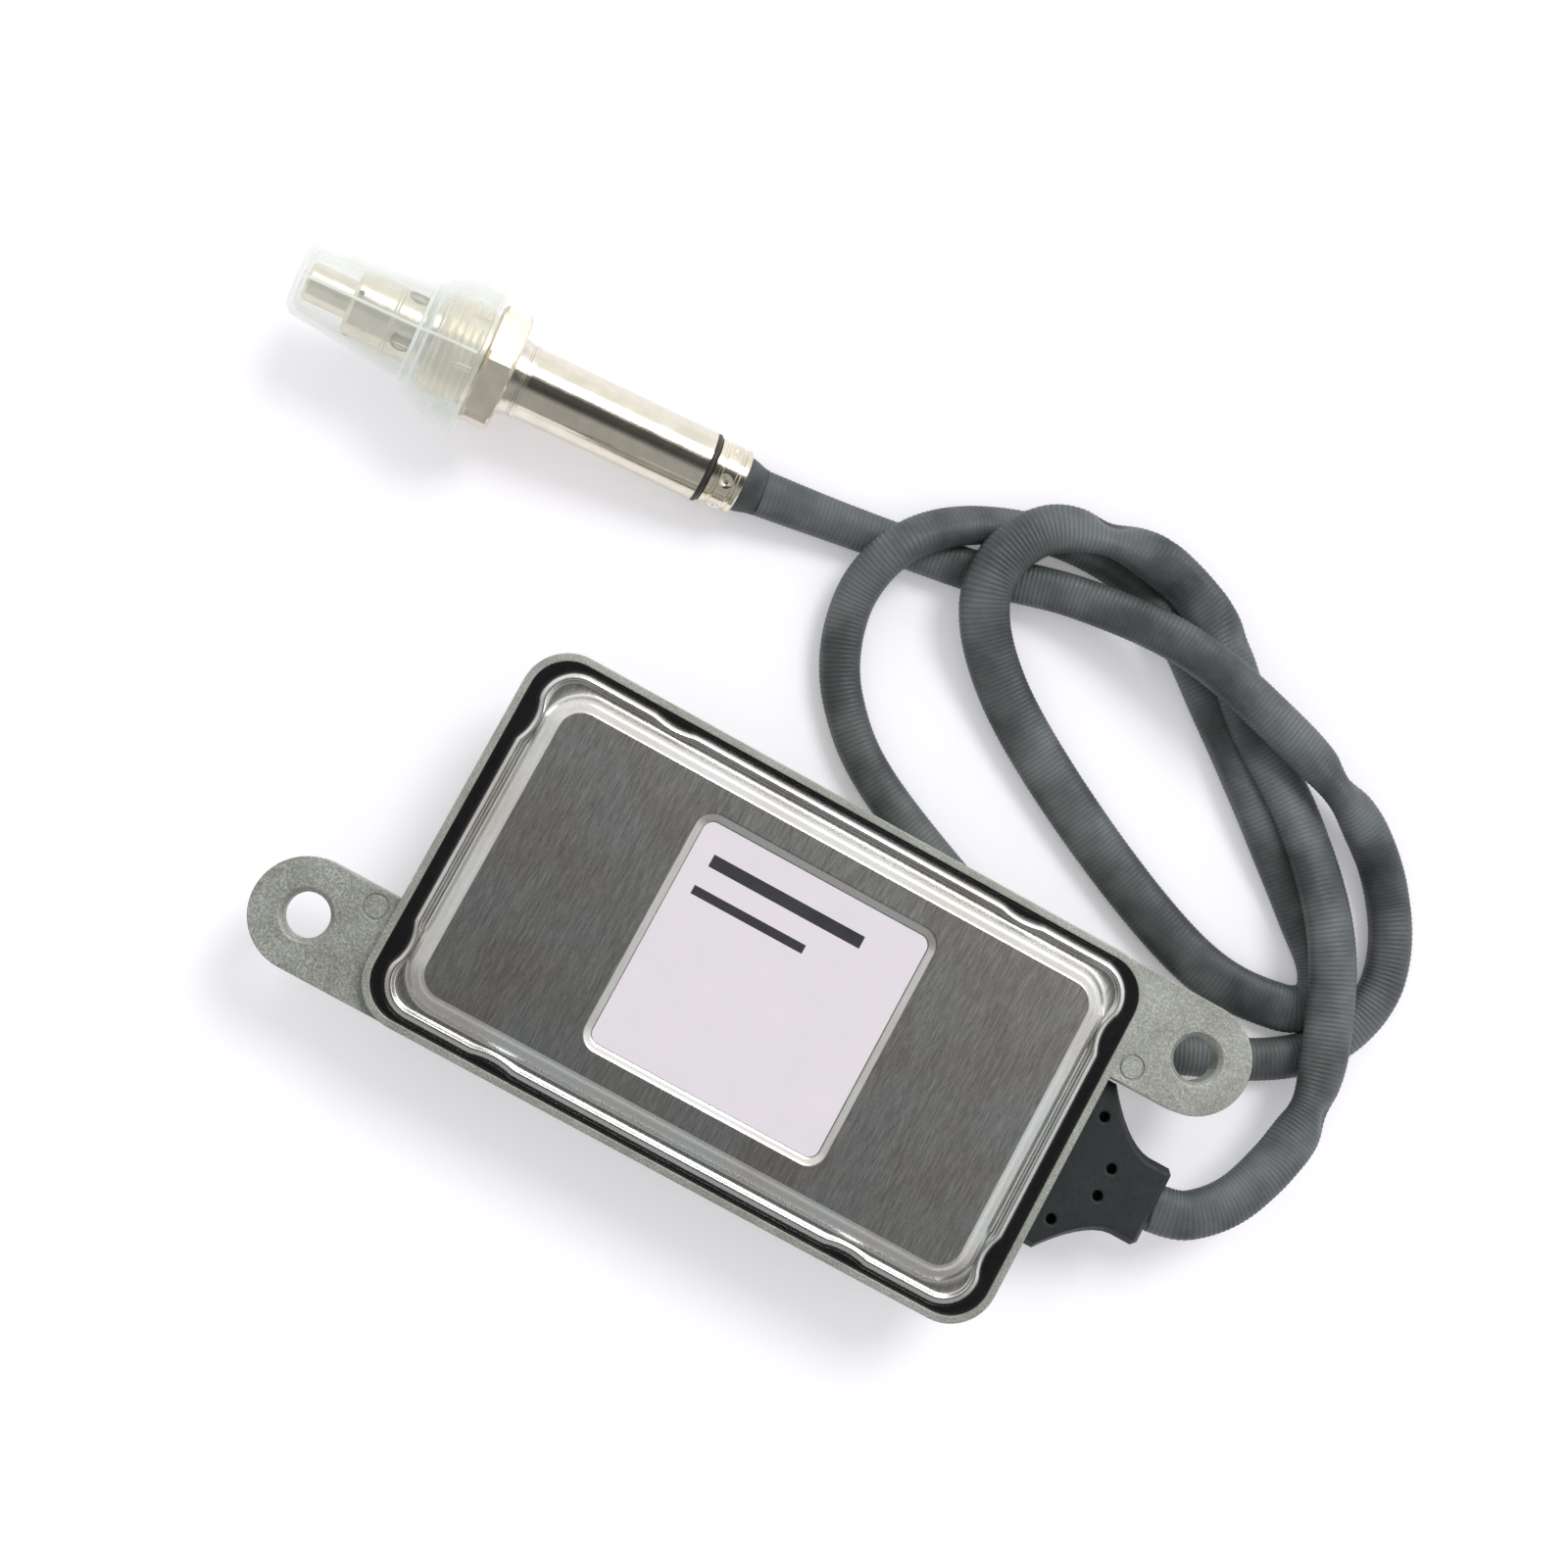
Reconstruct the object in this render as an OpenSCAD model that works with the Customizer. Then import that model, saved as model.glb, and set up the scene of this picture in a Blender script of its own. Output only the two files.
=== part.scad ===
// Nitrogen oxide sensor for an exhaust pipe: a sealed control module, a screw-in
// probe with its transport cap, and the flat sleeved cable that joins them.
// It lies on a table. Origin: centre of the module's base face, on the table.
// +X runs towards the cable boot, +Y towards the probe, +Z up. Millimetres.

/* [Housing] */
// Length of the housing over its rim
body_l = 128; // [120:1:150]
// Width of the housing over its rim
body_w = 75; // [72:1:90]
// Height of the rim above the base face
rim_z = 27; // [26:0.5:32]
// Corner radius of the rim
rim_r = 9; // [8:0.5:12]
// Thickness of the rim's outer wall
rim_t = 1.4; // [1.2:0.1:1.8]
// Depth of the sealing groove
groove_d = 5; // [4:0.5:6]
// Thickness of the wall that the lid sits on
ledge_t = 2.2; // [1.8:0.1:2.6]
// Thickness of the cast walls and floor
wall_t = 2.4; // [2:0.1:3]
// Height of the raised underside that clears the cable
step_z = 8; // [7:0.5:9]
// Place across the housing where the raised underside starts
step_y = 16; // [12:0.5:17]

/* [Lugs] */
// Distance from the housing's end to a lug hole
lug_out = 13.4; // [12:0.2:18]
// Radius of a lug's round end
lug_r = 10.5; // [8:0.5:12]
// Thickness of a lug
lug_t = 6.2; // [5:0.2:7]
// Drop from the rim to a lug's top
lug_drop = 2.5; // [2:0.25:4]
// Diameter of a lug hole
lug_hole_d = 8.4; // [6:0.1:9]
// Width of the chamfer round a lug hole
lug_chamfer = 0.8; // [0.4:0.1:1.2]

/* [Lid] */
// Thickness of the lid's sheet
lid_t = 0.8; // [0.6:0.1:1]
// Width of the sealant between rim and lid at the short sides
gap_end = 2.3; // [1.6:0.1:3]
// Width of the sealant between rim and lid at the long sides
gap_side = 1.2; // [1:0.1:2]
// Corner radius of the lid's edge
lid_r = 7; // [6.5:0.25:8]
// Height of the lid's edge over the rim
crest_rise = 0.6; // [0.3:0.1:1]
// Depth of the channel behind the lid's edge
channel_d = 0.7; // [0.4:0.1:1]
// Height from the channel up to the panel
panel_rise = 2.4; // [1.6:0.1:3]
// Width of the lid's border at the short sides
border_end = 5.8; // [5.4:0.1:8]
// Width of the lid's border at the long sides
border_side = 6.5; // [5.4:0.1:8]
// Corner radius of the panel
panel_r = 4.4; // [4:0.2:7]
// Width of the stepped slope round the panel
step_run = 2.8; // [2.2:0.1:3]
// Length of the label recess
recess_l = 46.4; // [40:0.2:60]
// Width of the label recess
recess_w = 45.4; // [36:0.2:50]
// Depth of the label recess
recess_d = 0.8; // [0.4:0.1:1.2]
// Depth of the dents in the lid's short edges
dent_end_d = 1.1; // [0.5:0.1:1.4]
// Depth of the dents in the lid's long edges
dent_side_d = 0.6; // [0.3:0.1:1]

/* [Label] */
// Bare margin between the label and the recess's slope
label_gap = 0.5; // [0.2:0.1:2]
// Thickness of the label
label_t = 0.15; // [0.1:0.05:0.3]

/* [Circuit board] */
// Thickness of the board
board_t = 1.6; // [1.2:0.2:2]
// Height of the board's underside above the base face
board_z = 14; // [13:0.25:14.5]
// Bare margin between the board and the housing's walls
board_gap = 1.8; // [1:0.1:3]
// Diameter of the capacitor cans
can_d = 8; // [6:0.5:9]
// Height of the capacitor cans
can_h = 9; // [6:0.5:9.5]

/* [Vehicle socket] */
// Width of the socket's shroud
socket_w = 22; // [18:0.5:24]
// Height of the socket's shroud
socket_h = 9.4; // [8.6:0.2:9.4]
// Wall of the shroud
socket_t = 1.4; // [1.2:0.1:1.6]
// Length of the shroud outside the housing's wall
socket_out = 12.5; // [10:0.5:13]
// Number of pins
socket_pin_n = 4; // [2:1:5]

/* [Cable boot] */
// Place of the boot's middle across the housing
boot_y = -0.9; // [-4:0.1:2]
// Gap between the boot and the lug beside it
boot_lug_gap = 0.4; // [0.2:0.1:2]
// Half width of the boot's end block
block_half = 7.9; // [7.5:0.1:9]
// Length of the boot outside the housing's tray
boot_l = 25.3; // [25.3:0.1:27]
// Height of the boot
boot_h = 7.8; // [7.2:0.1:7.8]
// Width of the boot's bevelled edge
boot_bevel = 1.1; // [0.6:0.1:1.4]

/* [Cable] */
// Width of the flat sleeve
cable_w = 9.2; // [8:0.1:10]
// Thickness of the flat sleeve
cable_t = 5.6; // [5:0.1:5.8]

/* [Probe] */
// Width across flats of the union nut
hex_af = 22; // [21:1:24]
// Length of the union nut's hexagon
hex_l = 5.8; // [5:0.2:7]
// Outer diameter of the thread
thread_d = 20; // [18:1:20]
// Length of the thread
thread_l = 9.6; // [8:0.2:11]
// Diameter of the probe's body under the nut
shell_d = 14.3; // [14:0.1:15]
// Running clearance of the nut on the body
nut_gap = 0.06; // [0.04:0.01:0.1]
// Diameter of the outer gas shield
shield_d = 13; // [12:0.2:13.6]
// Length of the outer gas shield
shield_l = 13.6; // [12:0.2:15]
// Diameter of the inner gas shield
tip_d = 7.4; // [6.5:0.1:8]
// Length of the inner gas shield past the outer one
tip_l = 8.7; // [7:0.1:9]
// Diameter of the polished rear sleeve
sleeve_d = 13.8; // [13.4:0.1:14.2]
// Length of the polished rear sleeve
sleeve_l = 36; // [32:1:42]
// Wall of the shields and the rear sleeve
tube_t = 0.6; // [0.5:0.05:0.8]
// Length of the crimped end behind the sleeve
crimp_l = 8.2; // [7:0.2:10]

/* [Protective cap] */
// Radius of the cap's flange
cap_flange_r = 14.4; // [14:0.1:16]
// Length of the cap
cap_l = 36.2; // [36:0.2:42]
// Wall of the cap
cap_t = 0.9; // [0.7:0.1:1]

/* [Hidden] */
$fn = 64;

// A cut runs this far past the face that it opens
past = 1;

// Housing: the rim flange overhangs a narrower tray
skirt_gap = 0.4;
lid_l = body_l - 2 * (rim_t + gap_end);
lid_w = body_w - 2 * (rim_t + gap_side);
ledge_in = lid_t + skirt_gap;
cavity_in = ledge_in + ledge_t;
cavity_l = lid_l - 2 * cavity_in;
cavity_w = lid_w - 2 * cavity_in;
cavity_r = 4;
tray_l = cavity_l + 2 * wall_t;
tray_w = cavity_w + 2 * wall_t;
tray_r = cavity_r + wall_t;
flange_z = rim_z - groove_d - 1.5;
edge_chamfer = 0.6;

// Lid levels
crest_z = rim_z + crest_rise;
channel_z = crest_z - channel_d;
panel_z = channel_z + panel_rise;
skirt_z = rim_z - groove_d + 0.8;
roll_r = 1.3;
channel_run = 0.8;
panel_l = lid_l - 2 * border_end;
panel_w = lid_w - 2 * border_side;
recess_r = 3.4;
recess_run = 0.9;
dent_half = 4.2;
dent_side_x = 36;
dent_end_y = 23;

// Lugs
lug_top = rim_z - lug_drop;
lug_x = body_l / 2 + lug_out;
lug_y = body_w / 2 - lug_r;
lug_mark_r = 2.4;
lug_mark_d = 0.25;

// Board
board_l = cavity_l - 2 * board_gap;
board_w = cavity_w - 2 * board_gap;
board_top = board_z + board_t;
boss_in = 5;
boss_r = 3.2;
boss_hole_r = 1.5;
screw_r = 1.45;
screw_clear_r = 1.7;
screw_head_r = 2.8;
screw_head_h = 2.2;
screw_l = 4;
lead_r = 0.4;
chip_side = 12;
chip_t = 1.4;
chip_lift = 0.2;
chip_foot = 1;
driver_l = 7.5;
driver_w = 5;
driver_t = 1.6;
driver_step = 13;
bridge_l = 10;
bridge_w = 6;
bridge_t = 1.8;
coil_d = 11;
coil_rim = 1.2;
coil_gap = 3;
crystal_l = 9;
crystal_r = 1.5;
can_gap = 2;

// Places of the board's pieces: from its middle along it, from its near edge across it
function on_board(x, y) = [x, y - board_w / 2, board_top];
chip_at = on_board(-4, 27.7);
driver_at = on_board(-30, 13.7);
bridge_at = on_board(18, 42.7);
coil_at = on_board(14, 12.7);
crystal_at = on_board(-4, 43.7);
can_at = on_board(26, 9.7);

// Vehicle socket, under the boot
socket_z = wall_t + 0.1 + socket_h / 2;
socket_front = tray_l / 2 + socket_out;
socket_back = cavity_l / 2 - 3.4;
socket_flange = 1.4;
socket_flange_t = 1.4;
gasket_t = 1;
window_gap = 0.05;
pin_r = 0.75;
pin_pitch = 4.2;
pin_out = 8;
pin_rise_x = socket_back - 2.2;

// Boot
boot_z1 = flange_z - 0.1;
boot_z0 = boot_z1 - boot_h;
boot_z = (boot_z0 + boot_z1) / 2;
boot_half = lug_y - lug_r - boot_lug_gap - boot_y;
boot_end_x = tray_l / 2 + boot_l;
boot_hole_r = 1.05;
boot_hole_x = 8.9;
boot_hole_step = 5.7;
boot_hole_in = 6.4;
boot_hole_y = 2.8;
boot_holes = [[tray_l / 2 + boot_hole_x, boot_half - boot_hole_in],
    [tray_l / 2 + boot_hole_x + boot_hole_step, boot_hole_y]];
boot_hole_d = 4;
spigot_in = 3.5;
spigot_w = 2 * (boot_half - spigot_in);
spigot_h = 4;
spigot_z = board_top + 0.3 + spigot_h / 2;
contact_n = 8;
contact_margin = 3.35;
contact_pitch = (spigot_w - 2 * contact_margin) / (contact_n - 1);
contact_in = 5.2;
contact_r = 0.5;
fan_l = 8.3;
block_l = 5.2;
neck_x0 = tray_l / 2 + fan_l;
neck_x1 = boot_end_x - block_l;

// Probe: its own frame has the tip along +Z and zero at the face of the hexagon
probe_at = [-100.2, 77.3, 14.32];
probe_yaw = 5.6;
probe_tilt = 8.2;
nut_turn = 7;
body_r = shell_d / 2;
nut_bore_r = body_r + nut_gap;
collar_l = 3.3;
sleeve_front = -hex_l - 0.15 - collar_l;
sleeve_back = sleeve_front - sleeve_l;
probe_back = sleeve_back - crimp_l;
seat_z = thread_l + 0.1;
seat_l = 2.4;
seat_r = 8.2;
shield_z = seat_z + seat_l;
tip_z = shield_z + shield_l;
bore_r = 5;
rear_bore_r = sleeve_d / 2 - tube_t;
bush_r = sleeve_d / 2 - 0.45;
bush_t = 0.8;
grommet_r = bush_r - bush_t;
wire_ring_r = 2.9;
wire_r = 0.6;
wire_n = 8;
element_w = 4.2;
element_t = 1.5;
fit = 0.05;

// Probe pieces by their stations
nut_relief_l = 1.2;
nut_relief_d = 1.1;
weld_r = body_r + 0.35;
weld_l = 0.9;
lip_r = 4.2;
lip_l = 2.4;
front_l = 5;
talc_l = 5;
rear_l = 7.5;
holder_l = 14;
holder_r = 5.7;
holder_z = -30;
element_back = -28.5;
element_front = 31;
vent_d = 4.2;
vent_z = shield_z + 2.5;
small_vent_d = 1.1;
small_vent_z = tip_z - 1.3;
bead_z = shield_z + 5.4;
bead_r = 0.35;
shrink_l = 4.5;
shrink_r = 5.45;

// Cap profile
cap_z0 = 0.2;
cap_flange_t = 1.3;
cap_dome_r = 13.6;
cap_dome_z = 4;
cap_waist_r = 9.4;
cap_waist_z = 12.6;
cap_nose_r = 6.95;
cap_stop_r = 9;
cap_rib_t = 0.8;
cap_rib_n = 8;

// The cable's centreline, from the probe to the boot
cable_start = probe_point(probe_back - shrink_l);
cable_end = [boot_end_x, boot_y, boot_z];
route = [cable_start, [-26, 86, 3.2], [0, 90, 2.9], [20, 94.5, 6.5], [42, 95.5, 12],
    [64, 91, 13], [86, 84.5, 8.8], [101.5, 73.5, 3], [109.5, 56.5, 2.9], [104.5, 39, 2.9],
    [84, 28.5, 2.9], [60, 24.8, 2.9], [10, 42, 2.9], [-10, 56, 2.9], [-18, 73, 5],
    [-14.5, 89, 9], [0, 101.5, 3.6], [20, 106.5, 2.9], [38, 101.5, 2.9], [54, 87.5, 2.9],
    [72, 73, 2.9], [87, 61.5, 2.9], [96, 55.5, 2.9], [98.5, 49.5, 2.9], [92.5, 45, 2.9],
    [74, 45, 2.9], [44, 57, 2.9], [16, 73, 4.2], [3.5, 88, 9.2], [9, 103, 9],
    [28, 107.5, 8.9], [47, 103, 8.8], [62, 91, 6.6], [79, 78.5, 6.6], [92.5, 63, 8.8],
    [101, 47, 9], [105, 29, 9.2], [99.5, 10.5, 13.5], [92, 2, 16.2], cable_end];
ring_steps = 2;
ring_sides = 10;

// The probe's axis, and the point on it at a height in the probe's own frame
function probe_dir() = [-cos(probe_tilt) * cos(probe_yaw),
    -cos(probe_tilt) * sin(probe_yaw), sin(probe_tilt)];
function probe_point(h) = probe_at + h * probe_dir();
function unit(v) = v / norm(v);

module on_probe() {
    translate(probe_at) rotate([0, probe_tilt - 90, probe_yaw]) children();
}

// Half a cosine wave from 0 to 1
function ease(t) = (1 - cos(180 * t)) / 2;

module rrect(l, w, r) {
    square([l - 2 * r, w], center = true);
    square([l, w - 2 * r], center = true);
    for (sx = [-1, 1], sy = [-1, 1])
        translate([sx * (l / 2 - r), sy * (w / 2 - r)]) circle(r);
}

module slab(l, w, r, z0, z1) {
    translate([0, 0, z0]) linear_extrude(z1 - z0) rrect(l, w, r);
}

// A section carried round a rounded rectangle: its x runs inwards from the outline
module band(l, w, r) {
    for (turn = [0, 180]) {
        rotate(turn) translate([0, -w / 2, 0]) rotate([90, 0, 90])
            linear_extrude(l - 2 * r, center = true) children();
        rotate(turn + 90) translate([0, -l / 2, 0]) rotate([90, 0, 90])
            linear_extrude(w - 2 * r, center = true) children();
    }
    for (sx = [-1, 1], sy = [-1, 1])
        translate([sx * (l / 2 - r), sy * (w / 2 - r), 0])
            rotate(sx > 0 ? (sy > 0 ? 0 : -90) : (sy > 0 ? 90 : 180))
                rotate_extrude(angle = 90) translate([r, 0]) mirror([1, 0]) children();
}

// Both lugs are one shape turned by half a turn
module lug_outline() {
    translate([lug_x, lug_y]) circle(lug_r);
    translate([body_l / 2 - rim_r, lug_y - lug_r])
        square([lug_x - body_l / 2 + rim_r, 2 * lug_r]);
}

module lug_drill() {
    translate([lug_x, lug_y, lug_top - lug_t - past])
        cylinder(h = lug_t + 2 * past, d = lug_hole_d);
    for (flip = [0, 1])
        translate([lug_x, lug_y, flip ? lug_top - lug_t : lug_top]) rotate([180 * flip, 0, 0])
            translate([0, 0, -lug_chamfer])
                cylinder(h = lug_chamfer + fit, r1 = lug_hole_d / 2,
                    r2 = lug_hole_d / 2 + lug_chamfer + fit);
    translate([body_l / 2 + lug_mark_r + 1, lug_y - lug_r + lug_mark_r + 1,
        lug_top - lug_mark_d])
        difference() {
            cylinder(h = past, r = lug_mark_r);
            translate([0, 0, -past]) cylinder(h = 3 * past, r = lug_mark_r - 0.35);
        }
}

function boss_spots() = [for (sx = [-1, 1], sy = [-1, 1])
    [sx * (board_l / 2 - boss_in), sy * (board_w / 2 - boss_in)]];

// The seat is notched behind each dent in the lid's skirt
module ledge_outline() difference() {
    rrect(lid_l - 2 * ledge_in, lid_w - 2 * ledge_in, lid_r - ledge_in);
    dents(lid_t + skirt_gap / 2);
}

module housing() color("#a9aaa6") difference() {
    union() {
        difference() {
            union() {
                slab(tray_l, tray_w, tray_r, edge_chamfer, flange_z + past);
                slab(tray_l - 2 * edge_chamfer, tray_w - 2 * edge_chamfer,
                    tray_r - edge_chamfer, 0, edge_chamfer + past);
                slab(body_l, body_w, rim_r, flange_z, rim_z);
                for (turn = [0, 180])
                    rotate(turn) translate([0, 0, lug_top - lug_t])
                        linear_extrude(lug_t) lug_outline();
            }
            // The deep part of the tray, then the shallow part over the cable
            intersection() {
                slab(cavity_l, cavity_w, cavity_r, wall_t, rim_z + past);
                translate([-body_l, -body_w, 0])
                    cube([2 * body_l, body_w + step_y - wall_t, rim_z + past]);
            }
            slab(cavity_l, cavity_w, cavity_r, step_z + wall_t, rim_z + past);
            translate([-body_l, step_y, -past]) cube([2 * body_l, body_w, step_z + past]);
            // Sealing groove round the lid's seat, and the seat's own level
            difference() {
                slab(body_l - 2 * rim_t, body_w - 2 * rim_t, rim_r - rim_t,
                    rim_z - groove_d, rim_z + past);
                linear_extrude(rim_z + 2 * past) ledge_outline();
            }
            slab(body_l - 2 * rim_t, body_w - 2 * rim_t, rim_r - rim_t, seat_top, rim_z + past);
        }
        for (spot = boss_spots())
            translate([spot.x, spot.y, spot.y > 0 ? step_z + wall_t - fit : wall_t - fit])
                cylinder(h = board_z - (spot.y > 0 ? step_z : 0) - wall_t + fit, r = boss_r);
    }
    for (turn = [0, 180]) rotate(turn) lug_drill();
    for (spot = boss_spots())
        translate([spot.x, spot.y, board_z - screw_l]) cylinder(h = screw_l + past, r = boss_hole_r);
    // Windows for the vehicle socket and for the boot's spigot
    translate([cavity_l / 2 - past, boot_y - socket_w / 2 - window_gap,
        socket_z - socket_h / 2 - window_gap])
        cube([wall_t + 2 * past, socket_w + 2 * window_gap, socket_h + 2 * window_gap]);
    translate([cavity_l / 2 - past, boot_y - spigot_w / 2 - window_gap,
        spigot_z - spigot_h / 2 - window_gap])
        cube([wall_t + 2 * past, spigot_w + 2 * window_gap, spigot_h + 2 * window_gap]);
}

// Circles that cut the dents into the lid's edge, each a shallow arc
function dent_r(d) = (pow(dent_half, 2) + pow(d, 2)) / (2 * d);

module dents(more) {
    for (sx = [-1, 1], sy = [-1, 1]) {
        translate([sx * dent_side_x, sy * (lid_w / 2 + dent_r(dent_side_d) - dent_side_d)])
            circle(dent_r(dent_side_d) + more);
        translate([sx * (lid_l / 2 + dent_r(dent_end_d) - dent_end_d), sy * dent_end_y])
            circle(dent_r(dent_end_d) + more);
    }
}

// Section of the lid's rolled edge and the slope into the channel
roll_n = 4;
seat_top = channel_z - lid_t;
function edge_top() = concat(
    [for (i = [0:roll_n]) [roll_r * (1 - cos(90 * i / roll_n)),
        crest_z - roll_r + roll_r * sin(90 * i / roll_n)]],
    [for (i = [1:roll_n]) [roll_r + channel_run * i / roll_n,
        crest_z - channel_d * ease(i / roll_n)]]);

module edge_section() {
    polygon(concat([[0, seat_top]], edge_top(), [[roll_r + channel_run, seat_top]]));
}

// Section of the double step up to the panel
step_n = 4;
function step_z_at(t) = channel_z + panel_rise / 2 * (ease(min(1, t * 2)) + ease(max(0, t * 2 - 1)));
function step_line(drop) = [for (i = [0:2 * step_n])
    [step_run * i / (2 * step_n), step_z_at(i / (2 * step_n)) - drop]];
function reversed(list) = [for (i = [len(list) - 1:-1:0]) list[i]];

module step_section() polygon(concat(step_line(0), reversed(step_line(lid_t))));

recess_n = 3;
module recess_section() {
    top = [for (i = [0:recess_n]) [recess_run * i / recess_n,
        panel_z - recess_d * ease(i / recess_n)]];
    polygon(concat(top, reversed([for (p = top) p - [0, lid_t]])));
}

module lid() color("#8b8c8c") {
    foot_l = panel_l + 2 * step_run;
    foot_w = panel_w + 2 * step_run;
    foot_r = panel_r + step_run;
    flat_in = roll_r + channel_run;
    difference() {
        union() {
            band(lid_l, lid_w, lid_r) edge_section();
            // Skirt, with the sheet's thickness kept behind each dent
            translate([0, 0, skirt_z]) linear_extrude(seat_top - skirt_z) difference() {
                rrect(lid_l, lid_w, lid_r);
                difference() {
                    rrect(lid_l - 2 * lid_t, lid_w - 2 * lid_t, lid_r - lid_t);
                    dents(lid_t);
                }
            }
        }
        translate([0, 0, skirt_z - past]) linear_extrude(crest_z) dents(0);
    }
    difference() {
        slab(lid_l - 2 * flat_in, lid_w - 2 * flat_in, lid_r - flat_in,
            channel_z - lid_t, channel_z);
        slab(foot_l, foot_w, foot_r, 0, rim_z * 2);
    }
    band(foot_l, foot_w, foot_r) step_section();
    difference() {
        slab(panel_l, panel_w, panel_r, panel_z - lid_t, panel_z);
        slab(recess_l, recess_w, recess_r, 0, rim_z * 2);
    }
    band(recess_l, recess_w, recess_r) recess_section();
    slab(recess_l - 2 * recess_run, recess_w - 2 * recess_run, recess_r - recess_run,
        panel_z - recess_d - lid_t, panel_z - recess_d);
}

// Sealant fills the groove outside the skirt and under its edge
module sealant_bead() color("#101112") {
    groove_z = rim_z - groove_d;
    translate([0, 0, groove_z]) linear_extrude(rim_z - rim_t / 2 - groove_z) difference() {
        rrect(body_l - 2 * rim_t, body_w - 2 * rim_t, rim_r - rim_t);
        difference() {
            rrect(lid_l, lid_w, lid_r);
            dents(0);
        }
    }
    translate([0, 0, groove_z]) linear_extrude(skirt_z - groove_z) difference() {
        rrect(body_l - 2 * rim_t, body_w - 2 * rim_t, rim_r - rim_t);
        ledge_outline();
    }
}

module label() color("#e6e0e6") {
    inset = 2 * (recess_run + label_gap);
    slab(recess_l - inset, recess_w - inset, recess_r - recess_run,
        panel_z - recess_d, panel_z - recess_d + label_t);
}

module circuit_board() color("#2c5a3c") difference() {
    slab(board_l, board_w, 2, board_z, board_top);
    for (spot = boss_spots())
        translate([spot.x, spot.y, board_z - past])
            cylinder(h = board_t + 2 * past, r = screw_clear_r);
    for (spot = pin_spots())
        translate([spot.x, spot.y, board_z - past])
            cylinder(h = board_t + 2 * past, r = pin_r + fit);
    for (spot = contact_spots())
        translate([spot.x, spot.y, board_z - past])
            cylinder(h = board_t + 2 * past, r = contact_r + fit);
    for (spot = can_spots(), side = [-1, 1])
        translate([spot.x + side * can_d / 4, spot.y, board_z - past])
            cylinder(h = board_t + 2 * past, r = lead_r + fit);
}

// A flat chip package with a row of feet down two sides
module chip(at, l, w, h, feet) {
    pitch = l / (feet + 1);
    foot = pitch / 2;
    translate([at.x - l / 2, at.y - w / 2, board_top + chip_lift]) cube([l, w, h]);
    for (i = [1:feet], side = [-1, 1])
        translate([at.x - l / 2 + i * pitch - foot / 2,
            at.y + side * (w / 2 + 0.4 * chip_foot) - chip_foot / 2, board_top])
            cube([foot, chip_foot, h / 2]);
}

module microcontroller() color("#1b1c1e") chip(chip_at, chip_side, chip_side, chip_t, 11);

module driver_chips() color("#222326") {
    for (i = [0:2]) chip(driver_at + [0, i * driver_step, 0], driver_l, driver_w, driver_t, 4);
    chip(bridge_at, bridge_l, bridge_w, bridge_t, 6);
}

function can_spots() = [for (i = [0:2]) can_at + [0, i * (can_d + can_gap), 0]];
module capacitors() color("#3b3f52") for (spot = can_spots()) {
    translate([spot.x, spot.y, board_top]) cylinder(h = can_h, d = can_d);
    for (side = [-1, 1])
        translate([spot.x + side * can_d / 4, spot.y, board_z - 0.8])
            cylinder(h = board_t + 0.8 + fit, r = lead_r);
}

module filter_coil() color("#6b4a34") translate(coil_at) {
    cylinder(h = coil_rim, d = coil_d);
    translate([0, 0, coil_rim]) cylinder(h = coil_gap, d = coil_d - 2 * coil_rim);
    translate([0, 0, coil_rim + coil_gap]) cylinder(h = coil_rim, d = coil_d);
}

module clock_crystal() color("#b9bcc0")
    translate(crystal_at + [0, 0, crystal_r]) rotate([0, 90, 0])
        cylinder(h = crystal_l, r = crystal_r, center = true);

module board_screws() color("#9a9ca0") for (spot = boss_spots())
    translate([spot.x, spot.y, board_top]) difference() {
        union() {
            cylinder(h = screw_head_h, r = screw_head_r);
            translate([0, 0, -board_t - screw_l + 0.4])
                cylinder(h = board_t + screw_l, r = screw_r);
        }
        translate([0, 0, screw_head_h - 1.1]) cylinder(h = 2, r = 1.4, $fn = 6);
    }

// Shroud of the vehicle socket: open to the front, a flange inside the wall
module vehicle_socket() color("#26292b") translate([0, boot_y, socket_z]) difference() {
    union() {
        translate([socket_back, -socket_w / 2, -socket_h / 2])
            cube([socket_front - socket_back, socket_w, socket_h]);
        translate([cavity_l / 2 - gasket_t - socket_flange_t, -socket_w / 2 - socket_flange,
            -socket_h / 2])
            cube([socket_flange_t, socket_w + 2 * socket_flange, socket_h + socket_flange]);
        // Latch rib under the shroud, for the plug's clip
        translate([tray_l / 2 + socket_out / 2, 0, -socket_h / 2]) intersection() {
            cube([3, 6, 1.6], center = true);
            translate([0, 0, -socket_h]) cube([9, 9, 2 * socket_h + 1.2], center = true);
        }
    }
    translate([cavity_l / 2, -socket_w / 2 + socket_t, -socket_h / 2 + socket_t])
        cube([socket_out + wall_t + past, socket_w - 2 * socket_t, socket_h - 2 * socket_t]);
    for (i = [0:socket_pin_n - 1])
        translate([socket_back - past, pin_y(i) - boot_y, 0]) rotate([0, 90, 0])
            cylinder(h = socket_out, r = pin_r + fit);
}

function pin_y(i) = boot_y + (i - (socket_pin_n - 1) / 2) * pin_pitch;
function pin_spots() = [for (i = [0:socket_pin_n - 1]) [pin_rise_x, pin_y(i)]];
module socket_pins() color("#c9b26a") for (spot = pin_spots()) {
    translate([spot.x, spot.y, socket_z]) {
        rotate([0, 90, 0]) cylinder(h = socket_back - spot.x + past + pin_out, r = pin_r);
        cylinder(h = board_top + 1 - socket_z, r = pin_r);
        sphere(r = pin_r);
    }
}

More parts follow.
